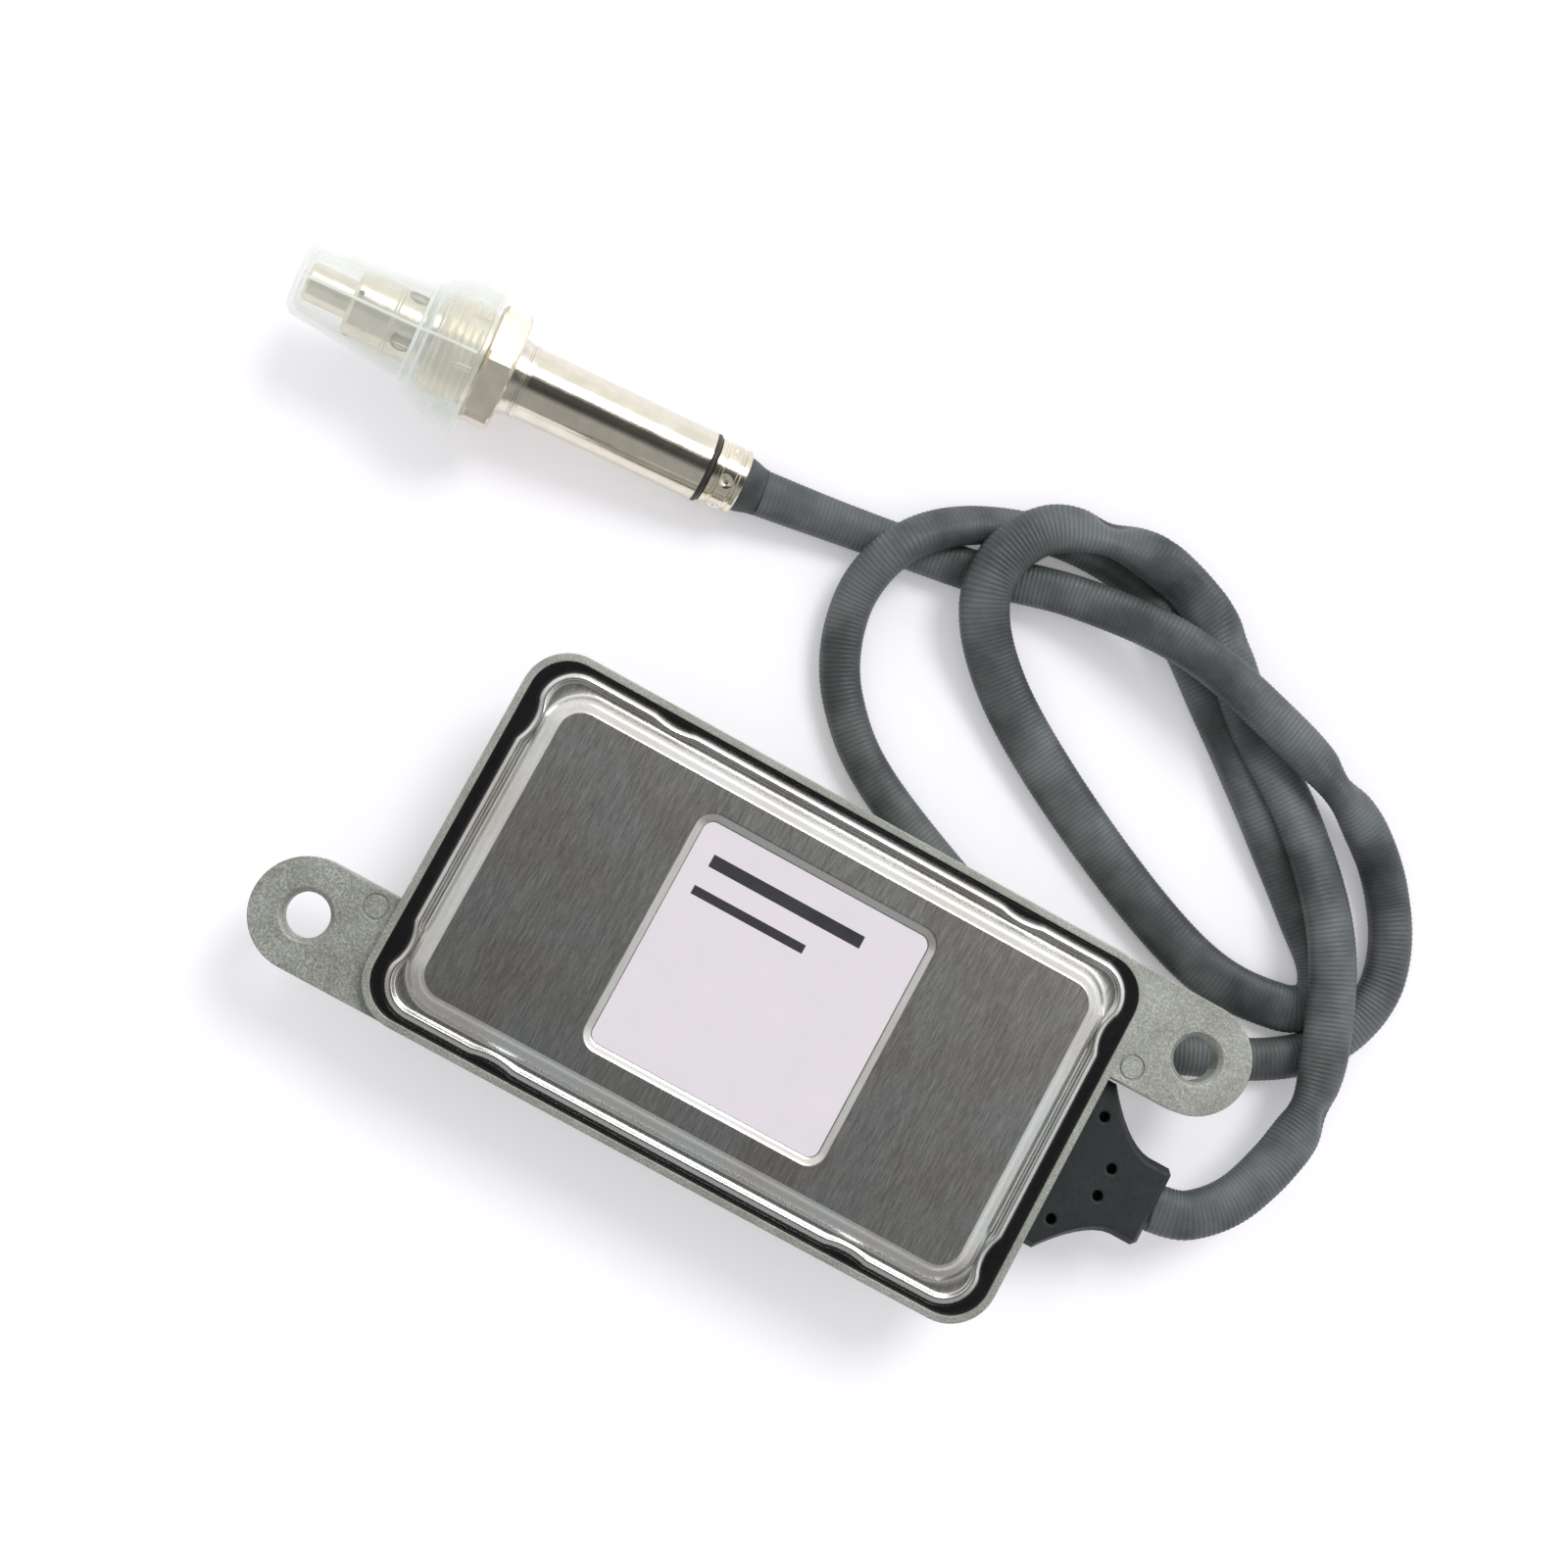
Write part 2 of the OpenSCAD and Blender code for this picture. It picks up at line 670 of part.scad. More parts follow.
module socket_gasket() color("#7a2f24") difference() {
    rim = 1;
    translate([cavity_l / 2 - gasket_t, boot_y - socket_w / 2 - rim, socket_z - socket_h / 2])
        cube([gasket_t, socket_w + 2 * rim, socket_h + rim]);
    translate([cavity_l / 2 - gasket_t - past, boot_y - socket_w / 2 - window_gap,
        socket_z - socket_h / 2 - past])
        cube([gasket_t + 2 * past, socket_w + 2 * window_gap,
            socket_h + window_gap + past]);
}

// Boot: a bevelled section carried along X, from a fan through a neck into the end block
neck_n = 8;
boot_corner = 0.9;
function neck_half(t) = block_half + (boot_half - block_half) * pow(1 - t, 1.7);
function boot_stations() = concat(
    [[tray_l / 2, boot_half, 0]],
    [for (i = [0:neck_n]) [neck_x0 + (neck_x1 - neck_x0) * i / neck_n, neck_half(i / neck_n), 0]],
    [[boot_end_x - boot_corner, block_half, 0], [boot_end_x, block_half - boot_corner, boot_corner]]);
function boot_ring(s) = let (half = s.y, low = boot_z0 + s.z, high = boot_z1 - s.z,
    b = boot_bevel - s.z) [for (p = [[half, low + b], [half, high - b], [half - b, high],
        [b - half, high], [-half, high - b], [-half, low + b], [b - half, low], [half - b, low]])
        [s.x, boot_y + p.x, p.y]];

// A closed skin over a list of rings with equal numbers of points
module skin(rings) {
    n = len(rings[0]);
    last = (len(rings) - 1) * n;
    polyhedron(points = [for (ring = rings, p = ring) p], convexity = 8,
        faces = concat([[for (i = [0:n - 1]) i]],
            [[for (i = [n - 1:-1:0]) last + i]],
            [for (k = [0:len(rings) - 2], i = [0:n - 1])
                [k * n + i, (k + 1) * n + i, (k + 1) * n + (i + 1) % n, k * n + (i + 1) % n]]));
}

module cable_boot() color("#32383a") difference() {
    union() {
        skin([for (s = boot_stations()) boot_ring(s)]);
        translate([cavity_l / 2 + fit, boot_y - spigot_w / 2, spigot_z - spigot_h / 2])
            cube([wall_t, spigot_w, spigot_h]);
    }
    for (spot = boot_holes, side = [-1, 1])
        translate([spot.x, boot_y + side * spot.y, boot_z1 - boot_hole_d])
            cylinder(h = boot_hole_d + past, r = boot_hole_r, $fn = 12);
    for (i = [0:contact_n - 1])
        translate([cavity_l / 2 - past, contact_y(i), spigot_z]) rotate([0, 90, 0])
            cylinder(h = contact_in + past, r = contact_r + 2 * fit, $fn = 8);
}

function contact_y(i) = boot_y + (i - (contact_n - 1) / 2) * contact_pitch;
function contact_spots() = [for (i = [0:contact_n - 1]) [board_l / 2 - 1.8, contact_y(i)]];
module boot_contacts() color("#c9b26a") for (spot = contact_spots()) {
    translate([spot.x, spot.y, spigot_z]) {
        rotate([0, 90, 0]) cylinder(h = cavity_l / 2 + contact_in - 1 - spot.x, r = contact_r);
        translate([0, 0, board_z - 1 - spigot_z])
            cylinder(h = spigot_z - board_z + 1, r = contact_r);
        sphere(r = contact_r);
    }
}

// Smooth curve through the route's points, kept clear of the table
function along(p, i, t) = let (a = p[max(0, i - 1)], b = p[i], c = p[i + 1],
    d = p[min(len(p) - 1, i + 2)])
    (2 * b + (c - a) * t + (2 * a - 5 * b + 4 * c - d) * pow(t, 2)
        + (3 * b - a - 3 * c + d) * pow(t, 3)) / 2;
function lifted(p) = [p.x, p.y, max(p.z, cable_t / 2)];
function cable_line() = concat([for (i = [0:len(route) - 2], k = [0:ring_steps - 1])
    lifted(along(route, i, k / ring_steps))], [cable_end]);
function cable_ring(at, dir) = let (side = unit(cross(dir, [0, 0, 1])), up = cross(side, dir))
    [for (k = [0:ring_sides - 1]) at + side * cable_w / 2 * cos(360 * k / ring_sides)
        + up * cable_t / 2 * sin(360 * k / ring_sides)];

module cable_sleeve() color("#454d50") {
    line = cable_line();
    last = len(line) - 1;
    skin([for (i = [0:last]) cable_ring(line[i],
        i == 0 ? -probe_dir() : i == last ? [-1, 0, 0]
            : unit(line[i + 1] - line[i - 1]))]);
}

// Smooth end of the sleeve, shrunk on to the crimp: round, then flat
module sleeve_collar() color("#3c4447") {
    n = 28;
    rings = 5;
    skin([for (k = [0:rings]) let (t = k / rings,
        at = probe_point(probe_back - shrink_l * t),
        dir = -probe_dir(), side = unit(cross(dir, [0, 0, 1])), up = cross(side, dir),
        a = shrink_r + (cable_w / 2 - shrink_r) * ease(t),
        b = shrink_r + (cable_t / 2 - shrink_r) * ease(t))
        [for (i = [0:n - 1]) at + side * a * cos(360 * i / n) + up * b * sin(360 * i / n)]]);
}

module union_nut() color("#c9c3b5") on_probe() difference() {
    corner_r = hex_af / 2 / cos(30);
    nose = 1;
    union() {
        intersection() {
            translate([0, 0, -hex_l]) rotate(nut_turn)
                cylinder(h = hex_l, r = corner_r, $fn = 6);
            // Turned chamfer over the six corners, front and back
            rotate_extrude() polygon([[0, -hex_l], [hex_af / 2 - 0.2, -hex_l],
                [corner_r, -hex_l + 0.8], [corner_r, -0.8], [hex_af / 2 - 0.2, 0], [0, 0]]);
        }
        rotate_extrude() polygon([[0, -fit], [thread_d / 2 - nut_relief_d, -fit],
            [thread_d / 2 - nut_relief_d, nut_relief_l - 0.4],
            [thread_d / 2, nut_relief_l + 0.4], [thread_d / 2, thread_l - nose],
            [thread_d / 2 - nose, thread_l], [0, thread_l]]);
    }
    translate([0, 0, -hex_l - past]) cylinder(h = hex_l + thread_l + 2 * past, r = nut_bore_r);
}

// Body: bored tube with the seat in front of the nut and weld rings behind it
module probe_body() color("#b3b1ac") on_probe() rotate_extrude() polygon([
    [bore_r, sleeve_front], [body_r, sleeve_front],
    [body_r, sleeve_front + 0.9], [body_r - 0.25, sleeve_front + 1.05],
    [body_r - 0.25, sleeve_front + 1.35], [body_r, sleeve_front + 1.5],
    [body_r, -hex_l - 0.15 - weld_l], [weld_r, -hex_l - 0.15 - weld_l],
    [weld_r, -hex_l - 0.15], [body_r, -hex_l - 0.15],
    [body_r, seat_z], [seat_r, seat_z], [seat_r, seat_z + seat_l - 1],
    [seat_r - 0.8, seat_z + seat_l], [lip_r, seat_z + seat_l],
    [lip_r, seat_z], [bore_r, seat_z]]);

module ring_holes(z, d, turn, count) {
    for (i = [0:count - 1])
        rotate([0, 0, turn + 360 * i / count]) translate([0, 0, z]) rotate([0, 90, 0])
            cylinder(h = shield_d, d = d);
}

module outer_shield() color("#b9b2a2") on_probe() difference() {
    r = shield_d / 2;
    union() {
        translate([0, 0, shield_z]) cylinder(h = shield_l - 0.8, r = r);
        translate([0, 0, tip_z - 0.8]) cylinder(h = 0.8, r1 = r, r2 = r - 0.8);
        translate([0, 0, bead_z]) rotate_extrude() translate([r - bead_r / 2, 0])
            circle(r = bead_r * 1.5, $fn = 24);
    }
    translate([0, 0, shield_z - past]) cylinder(h = shield_l - tube_t + past, r = r - tube_t);
    translate([0, 0, shield_z]) cylinder(h = shield_l + past, r = tip_d / 2);
    difference() {
        union() {
            ring_holes(vent_z, vent_d, -38, 4);
            ring_holes(small_vent_z, small_vent_d, 7, 4);
        }
        translate([0, 0, shield_z - past]) cylinder(h = shield_l + 2 * past, r = tip_d / 2 + past);
    }
}

module inner_shield() color("#bdb6a6") on_probe() rotate_extrude() polygon([
    [tip_d / 2 - tube_t, shield_z], [shield_d / 2 - tube_t, shield_z],
    [shield_d / 2 - tube_t, shield_z + tube_t], [tip_d / 2, shield_z + tube_t],
    [tip_d / 2, tip_z + tip_l - 0.6], [tip_d / 2 - 0.6, tip_z + tip_l],
    [1.2, tip_z + tip_l], [1.2, tip_z + tip_l - tube_t],
    [tip_d / 2 - tube_t - 0.2, tip_z + tip_l - tube_t],
    [tip_d / 2 - tube_t, tip_z + tip_l - tube_t - 0.2]]);

// The ceramic strip that senses the gas, seen edge on from above
module element_bar(more, z0, z1) {
    translate([-element_t / 2 - more, -element_w / 2 - more, z0])
        cube([element_t + 2 * more, element_w + 2 * more, z1 - z0]);
}

module sensing_element() color("#e9e6dc") on_probe()
    element_bar(0, element_back, element_front);

module packing(z0, z1) on_probe() difference() {
    translate([0, 0, z0]) cylinder(h = z1 - z0, r = bore_r);
    element_bar(fit, z0 - past, z1 + past);
}

module front_insulator() color("#f1efe8") packing(seat_z - front_l, seat_z);

module talc_seal() color("#cfcabd") packing(seat_z - front_l - talc_l, seat_z - front_l);

module rear_insulator() color("#f1efe8")
    packing(seat_z - front_l - talc_l - rear_l, seat_z - front_l - talc_l);

module contact_holder() color("#ece8dc") on_probe() difference() {
    translate([0, 0, holder_z]) cylinder(h = holder_l, r = holder_r);
    translate([-element_t / 2 - 0.6, -element_w / 2 - 0.2, holder_z + 1])
        cube([element_t + 1.2, element_w + 0.4, holder_l]);
}

module contact_springs() color("#c9b26a") on_probe()
    for (side = [-1, 1], i = [0:3])
        translate([side * (element_t / 2 + 0.3) - 0.3, (i - 1.5) * 1.05 - 0.3, holder_z + 1])
            cube([0.6, 0.6, holder_l - 1]);

module rear_sleeve() color("#c6c3ba") on_probe() translate([0, 0, sleeve_back]) difference() {
    cylinder(h = sleeve_l, d = sleeve_d);
    translate([0, 0, -past]) cylinder(h = sleeve_l + 2 * past, d = sleeve_d - 2 * tube_t);
}

// Crimped end: a neck behind the sleeve, then two bands rolled down on the grommet
module crimp_bush() color("#bdb6a8") on_probe() rotate_extrude() {
    neck_r = bush_r - 0.6;
    in_r = neck_r - tube_t;
    polygon([[in_r, sleeve_back], [sleeve_d / 2, sleeve_back],
        [sleeve_d / 2, sleeve_back - 0.5], [neck_r, sleeve_back - 0.7],
        [neck_r, sleeve_back - 1.5], [bush_r, sleeve_back - 1.9],
        [bush_r, sleeve_back - 2.8], [bush_r - 0.3, sleeve_back - 3],
        [bush_r - 0.3, sleeve_back - 3.4], [bush_r, sleeve_back - 3.6],
        [bush_r, probe_back + 2], [bush_r - 0.35, probe_back + 1.8],
        [bush_r - 0.35, probe_back + 1.3], [bush_r - 0.1, probe_back + 1.1],
        [bush_r - 0.1, probe_back + 0.3], [bush_r - 0.4, probe_back], [in_r, probe_back]]);
}

module wires(r, z0, z1) {
    for (i = [0:wire_n - 1])
        rotate(360 * (i + 0.5) / wire_n) translate([wire_ring_r, 0, z0])
            cylinder(h = z1 - z0, r = r, $fn = 24);
}

module cable_grommet() color("#2b2e30") on_probe() difference() {
    translate([0, 0, probe_back]) cylinder(h = crimp_l - 0.7, r = bush_r - 0.6 - tube_t);
    wires(wire_r + 0.02, probe_back - past, sleeve_back + past);
}

module lead_wires() color("#d9d4c4") on_probe() wires(wire_r, probe_back, holder_z);

// Cap: outer wall as a function of the station, then its inner wall
cap_n = 8;
function cap_dome(t) = cap_waist_r + (cap_dome_r - cap_waist_r) * pow(cos(90 * t), 0.8);
function cap_wall(in) = concat(
    [[cap_dome_r - in, cap_z0]],
    [for (i = [0:cap_n]) [cap_dome(i / cap_n) - in,
        cap_dome_z + (cap_waist_z - cap_dome_z) * i / cap_n]],
    [[cap_nose_r - in, cap_l - 1.2 - in], [cap_nose_r - 1.2 - in, cap_l - in],
     [0, cap_l - in]]);

module protective_cap() color("#e4e8e2") on_probe() {
    stop_z = seat_z + 0.1;
    rotate_extrude() polygon(concat(cap_wall(0), reversed(cap_wall(cap_t))));
    // Flange, and the shoulder inside that stops on the end of the thread
    rotate_extrude() polygon([[cap_dome_r - cap_t, cap_z0], [cap_flange_r, cap_z0],
        [cap_flange_r, cap_z0 + cap_flange_t], [cap_dome_r - cap_t, cap_z0 + cap_flange_t]]);
    rotate_extrude() polygon([[cap_stop_r, stop_z], [cap_stop_r, stop_z + 0.7],
        [cap_dome(0.78) - cap_t / 2, stop_z + 0.7], [cap_dome(0.7) - cap_t / 2, stop_z]]);
    for (i = [0:cap_rib_n - 1])
        rotate(360 * (i + 0.5) / cap_rib_n) rotate([90, 0, 0])
            linear_extrude(cap_rib_t, center = true)
                polygon([[thread_d / 2 + 0.15, cap_z0 + nut_relief_l],
                    [cap_dome_r - cap_t / 2, cap_z0 + nut_relief_l],
                    [cap_dome_r - cap_t / 2, cap_z0 + 5.5], [thread_d / 2 + 0.15, cap_z0 + 2.5]]);
}

housing();
lid();
sealant_bead();
label();
circuit_board();
microcontroller();
driver_chips();
capacitors();
filter_coil();
clock_crystal();
board_screws();
vehicle_socket();
socket_pins();
socket_gasket();
cable_boot();
boot_contacts();
cable_sleeve();
sleeve_collar();
union_nut();
protective_cap();
probe_body();
outer_shield();
inner_shield();
sensing_element();
front_insulator();
talc_seal();
rear_insulator();
contact_holder();
contact_springs();
rear_sleeve();
crimp_bush();
cable_grommet();
lead_wires();
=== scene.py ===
# nitrogen oxide sensor: the looks of its control module, flat cable and screw-in probe
import math

import bpy
import numpy as np
from mathutils import Matrix, Vector


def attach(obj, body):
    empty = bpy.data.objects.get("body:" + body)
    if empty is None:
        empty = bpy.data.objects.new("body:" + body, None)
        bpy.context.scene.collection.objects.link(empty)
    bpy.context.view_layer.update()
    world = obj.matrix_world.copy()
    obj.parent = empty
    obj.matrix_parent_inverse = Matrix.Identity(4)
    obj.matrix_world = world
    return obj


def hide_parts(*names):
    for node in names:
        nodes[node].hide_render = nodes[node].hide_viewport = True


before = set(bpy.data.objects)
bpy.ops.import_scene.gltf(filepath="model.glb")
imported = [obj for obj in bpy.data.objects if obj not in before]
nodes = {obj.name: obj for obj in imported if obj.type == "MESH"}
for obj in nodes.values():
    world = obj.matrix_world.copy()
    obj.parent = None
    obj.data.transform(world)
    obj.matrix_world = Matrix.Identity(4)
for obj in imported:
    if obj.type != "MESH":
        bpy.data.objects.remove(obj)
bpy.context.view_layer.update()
mm = 0.001
print("frame loaded:", len(nodes), "nodes")


def linearColor(hexText):
    # sRGB hex to the linear values that shaders take
    srgb = np.array([int(hexText[i:i + 2], 16) for i in (1, 3, 5)]) / 255
    linear = np.where(srgb <= 0.04045, srgb / 12.92, ((srgb + 0.055) / 1.055) ** 2.4)
    return (*[float(c) for c in linear], 1.0)


def feed(tree, node, sockets):
    # each socket gets a value, or a link from another node's output
    for socket, value in sockets.items():
        if isinstance(value, bpy.types.NodeSocket):
            tree.links.new(value, node.inputs[socket])
        else:
            node.inputs[socket].default_value = value


def addNode(tree, kind, sockets=None, stops=(), **settings):
    # a node with its settings and links; stops are the places and colours of a ramp
    node = tree.nodes.new(kind)
    for key, value in settings.items():
        setattr(node, key, value)
    feed(tree, node, sockets or {})
    for i, (place, color) in enumerate(stops):
        elements = node.color_ramp.elements
        element = elements[i] if i < len(elements) else elements.new(place)
        element.position = place
        element.color = linearColor(color)
    return node


def newMaterial(name, **shaderValues):
    # a Principled surface, and object coordinates in millimetres for its patterns
    material = bpy.data.materials.new(name)
    material.use_nodes = True
    tree = material.node_tree
    shader = tree.nodes["Principled BSDF"]
    feed(tree, shader, {key.replace("_", " "): value for key, value in shaderValues.items()})
    coords = addNode(tree, "ShaderNodeTexCoord")
    place = addNode(tree, "ShaderNodeVectorMath", {0: coords.outputs["Object"], "Scale": 1 / mm},
                    operation="SCALE").outputs["Vector"]
    return material, tree, shader, place


def meshPiece(name, points, faces, material, smooth=True, sharpAngle=None):
    # shaded smooth or flat; edges turned by more than the sharp angle, in degrees, stay crisp
    mesh = bpy.data.meshes.new(name)
    mesh.from_pydata(np.asarray(points).tolist(), [], [list(f) for f in faces])
    mesh.update()
    mesh.polygons.foreach_set("use_smooth", np.full(len(mesh.polygons), smooth))
    if sharpAngle is not None:
        mesh.set_sharp_from_angle(angle=math.radians(sharpAngle))
    mesh.materials.append(material)
    piece = bpy.data.objects.new(name, mesh)
    bpy.context.scene.collection.objects.link(piece)
    return piece


def gridFaces(rings, count):
    # quads between neighbouring rings, each ring closed on itself
    r, c = np.meshgrid(np.arange(rings - 1), np.arange(count), indexing="ij")
    a = r * count + c
    b = r * count + (c + 1) % count
    return np.stack([a, b, b + count, a + count], -1).reshape(-1, 4)


def closedTube(rings):
    # rings (n, m, 3) closed with a fan at both ends
    n, m, _ = rings.shape
    points = np.vstack([rings.reshape(-1, 3), rings[0].mean(0), rings[-1].mean(0)])
    here, last = np.arange(m), (n - 1) * m
    after = (here + 1) % m
    near = np.stack([np.full(m, n * m), after, here], -1)
    far = np.stack([np.full(m, n * m + 1), last + here, last + after], -1)
    return points, gridFaces(n, m).tolist() + near.tolist() + far.tolist()


def closedRing(rings):
    # rings (n, m, 3) whose last ring joins the first, as round a bored part
    n, m, _ = rings.shape
    here, last = np.arange(m), (n - 1) * m
    after = (here + 1) % m
    join = np.stack([last + here, last + after, after, here], -1)
    return rings.reshape(-1, 3), gridFaces(n, m).tolist() + join.tolist()


def fullTurn(count):
    # angles evenly round a circle, in radians
    return 2 * np.pi * np.arange(count) / count


def atHeight(outline, z):
    # a flat outline (n, 2) as a ring of points at one height
    return np.column_stack([outline, np.full(len(outline), z)])


def ease(t):
    # half a cosine wave, from 0 to 1
    return (1 - np.cos(np.pi * np.clip(t, 0, 1))) / 2


square = np.array([(-1, -1), (1, -1), (1, 1), (-1, 1)])  # corners, anticlockwise

# the camera that was fitted to the photograph
cameraSpec = {
    "place": (-39.7, -1.3, 450.3),  # mm
    "turns": (-2.57, 5.37, -28.6),  # degrees about X, Y, Z, from the world to the camera
    "lens": 54.0, "sensor": 36.0,  # mm
    "clipStart": 0.01,  # m
}


def makeCamera(spec):
    data = bpy.data.cameras.new("camera")
    data.lens = spec["lens"]
    data.sensor_width = spec["sensor"]
    data.clip_start = spec["clipStart"]
    camera = bpy.data.objects.new("camera", data)
    bpy.context.scene.collection.objects.link(camera)
    turnX, turnY, turnZ = (Matrix.Rotation(math.radians(angle), 4, axis)
                           for angle, axis in zip(spec["turns"], "XYZ"))
    toCamera = turnX @ turnY @ turnZ
    place = Matrix.Translation([c * mm for c in spec["place"]])
    camera.matrix_world = place @ toCamera.transposed()
    bpy.context.scene.camera = camera


makeCamera(cameraSpec)
print("camera made")

# the probe lies tilted: its origin is the sealing seat, in mm, and its turns are in degrees
probeSpec = {"at": (-100.2, 77.3, 14.32), "yaw": 5.6, "tilt": 8.2}


def probeMatrix(spec):
    # lays the probe's +Z along -X, lifts the tip by the tilt and swings it by the yaw
    yaw, tilt = math.radians(spec["yaw"]), math.radians(spec["tilt"])
    turn = Matrix.Rotation(yaw, 3, "Z") @ Matrix.Rotation(tilt - math.pi / 2, 3, "Y")
    return np.array(turn)


probeTurn = probeMatrix(probeSpec)


def onProbe(points):
    # probe's own millimetres, tip along +Z, to the frame's metres
    points = np.asarray(points)
    turned = points.reshape(-1, 3) @ probeTurn.T + np.array(probeSpec["at"])
    return turned.reshape(points.shape) * mm


def turnedPiece(name, radius, height, turn, material, sharpAngle=None):
    # rings round the probe's axis: x, y = radius * cos, sin of turn, and z = height, for
    # radii (rings, around) or (rings, 1); the last ring joins the first
    x, y = radius * np.cos(turn), radius * np.sin(turn)
    loop = np.stack(np.broadcast_arrays(x, y, height), -1)
    points, faces = closedRing(onProbe(loop))
    return meshPiece(name, points, faces, material, sharpAngle=sharpAngle)


# the flat ribbed cable from the probe to the boot, in mm
cableSpec = {
    "width": 9.2, "thick": 5.6,
    "length": 0.800,  # m
    "ribPitch": 0.9, "ribDepth": 0.05, "perRib": 5, "around": 20,
    "start": -57.95,  # height in the probe's frame
    "route": [(-26, 86, 3.2), (0, 90.5, 2.9), (20, 95.2, 6.5), (42, 96.2, 12), (64, 91.7, 13),
              (86, 85.2, 8.8), (102, 74, 3), (109, 57.5, 2.9), (103, 41, 2.9),
              (84, 29.5, 2.9), (60, 24.8, 2.9), (10, 42, 2.9), (-10, 56, 2.9), (-17.6, 73, 5),
              (-14, 88.5, 9), (0.3, 100.6, 3.6), (20, 105.2, 2.9), (37.6, 101.2, 2.9),
              (55.2, 88.6, 2.9), (73.6, 74.4, 2.9), (88.4, 62.6, 2.9), (96.4, 55.8, 2.9),
              (98.5, 49.5, 2.9), (92.5, 45, 2.9), (73.8, 44.9, 2.9), (43.8, 56.8, 2.9),
              (15.8, 72.9, 4.2), (3.3, 88, 9.2), (8.6, 103.5, 9), (27.6, 108.7, 8.9),
              (46, 103.2, 8.8), (61, 90.4, 6.6), (78.4, 78.2, 6.6), (92.5, 63, 8.8),
              (101, 47, 9), (105.6, 28.6, 9.2), (100.3, 10.6, 13.5), (92.3, 1.4, 16.2),
              (84.6, -0.9, 16.5)],
    "routeSteps": 24,  # in each stretch of the route
    "clearance": 0.03,  # between the sleeve and the table
    # width of the soft sleeve at distances along it; its girth stays nearly the same
    "widths": [(0, 9.2), (16, 8.0), (120, 8.6), (310, 7.9), (400, 8.3), (440, 7.8),
               (495, 9.4), (570, 10.2), (640, 9.5), (716, 9.3), (770, 9.4), (794, 9.2)],
    "widthBlend": 60,  # rings to either side that a width is averaged over
    "thickening": 0.75,  # thickness gained for each mm of width lost
    "squareness": 2.4,  # of the section, where 2 is an ellipse
    # folds where the sleeve twists: distance, length, turn in degrees, pinch in mm
    "folds": [(64, 22, -16, 0.2), (129, 9, 46, 1.7), (146, 8, -30, 1.3), (345, 14, 16, 0.3),
              (374, 22, 46, 0.2), (468, 16, -20, 0.4), (505, 12, 22, 0.5), (632, 9, 46, 2.5),
              (650, 8, -34, 2.0), (664, 6, 20, 1.0), (700, 22, 14, 0.2), (757, 7, 34, 1.4),
              (768, 6, -28, 1.0)],
    "pinchShare": 0.35,  # length of a pinch, as a share of its fold's
    "pinchAt": (0.28, 0.72),  # its angle in pi round the section, for a turn below and above 0
    "pinchWide": 0.5,  # radians round the sleeve
    "pathPoints": 220,  # points of the route
}


def curveThrough(points, steps):
    # Catmull-Rom: each stretch is a cubic through two points, aimed by their neighbours
    p = np.vstack([points[:1], points, points[-1:]])
    a, b, c, d = p[:-3, None], p[1:-2, None], p[2:-1, None], p[3:, None]
    t = (np.arange(steps) / steps)[None, :, None]
    line = (2 * b + (c - a) * t + (2 * a - 5 * b + 4 * c - d) * t ** 2
            + (3 * b - a - 3 * c + d) * t ** 3) / 2
    return np.vstack([line.reshape(-1, 3), points[-1:]])


def arcLength(line):
    # distance along a line at each of its points
    return np.r_[0, np.cumsum(np.linalg.norm(np.diff(line, axis=0), axis=1))]


def evenly(line, step):
    # distances along a line, about a step apart, and the points there
    s = arcLength(line)
    at = np.linspace(0, s[-1], int(s[-1] / step) + 1)
    return at, np.stack([np.interp(at, s, line[:, k]) for k in range(3)], 1)


def cableLine(spec):
    # the centre line, nowhere lower than half the sleeve's thickness
    start = onProbe([0, 0, spec["start"]]) / mm
    line = curveThrough(np.vstack([start, np.array(spec["route"], float)]), spec["routeSteps"])
    line[:, 2] = np.maximum(line[:, 2], spec["thick"] / 2)
    return evenly(line, spec["ribPitch"] / spec["perRib"])


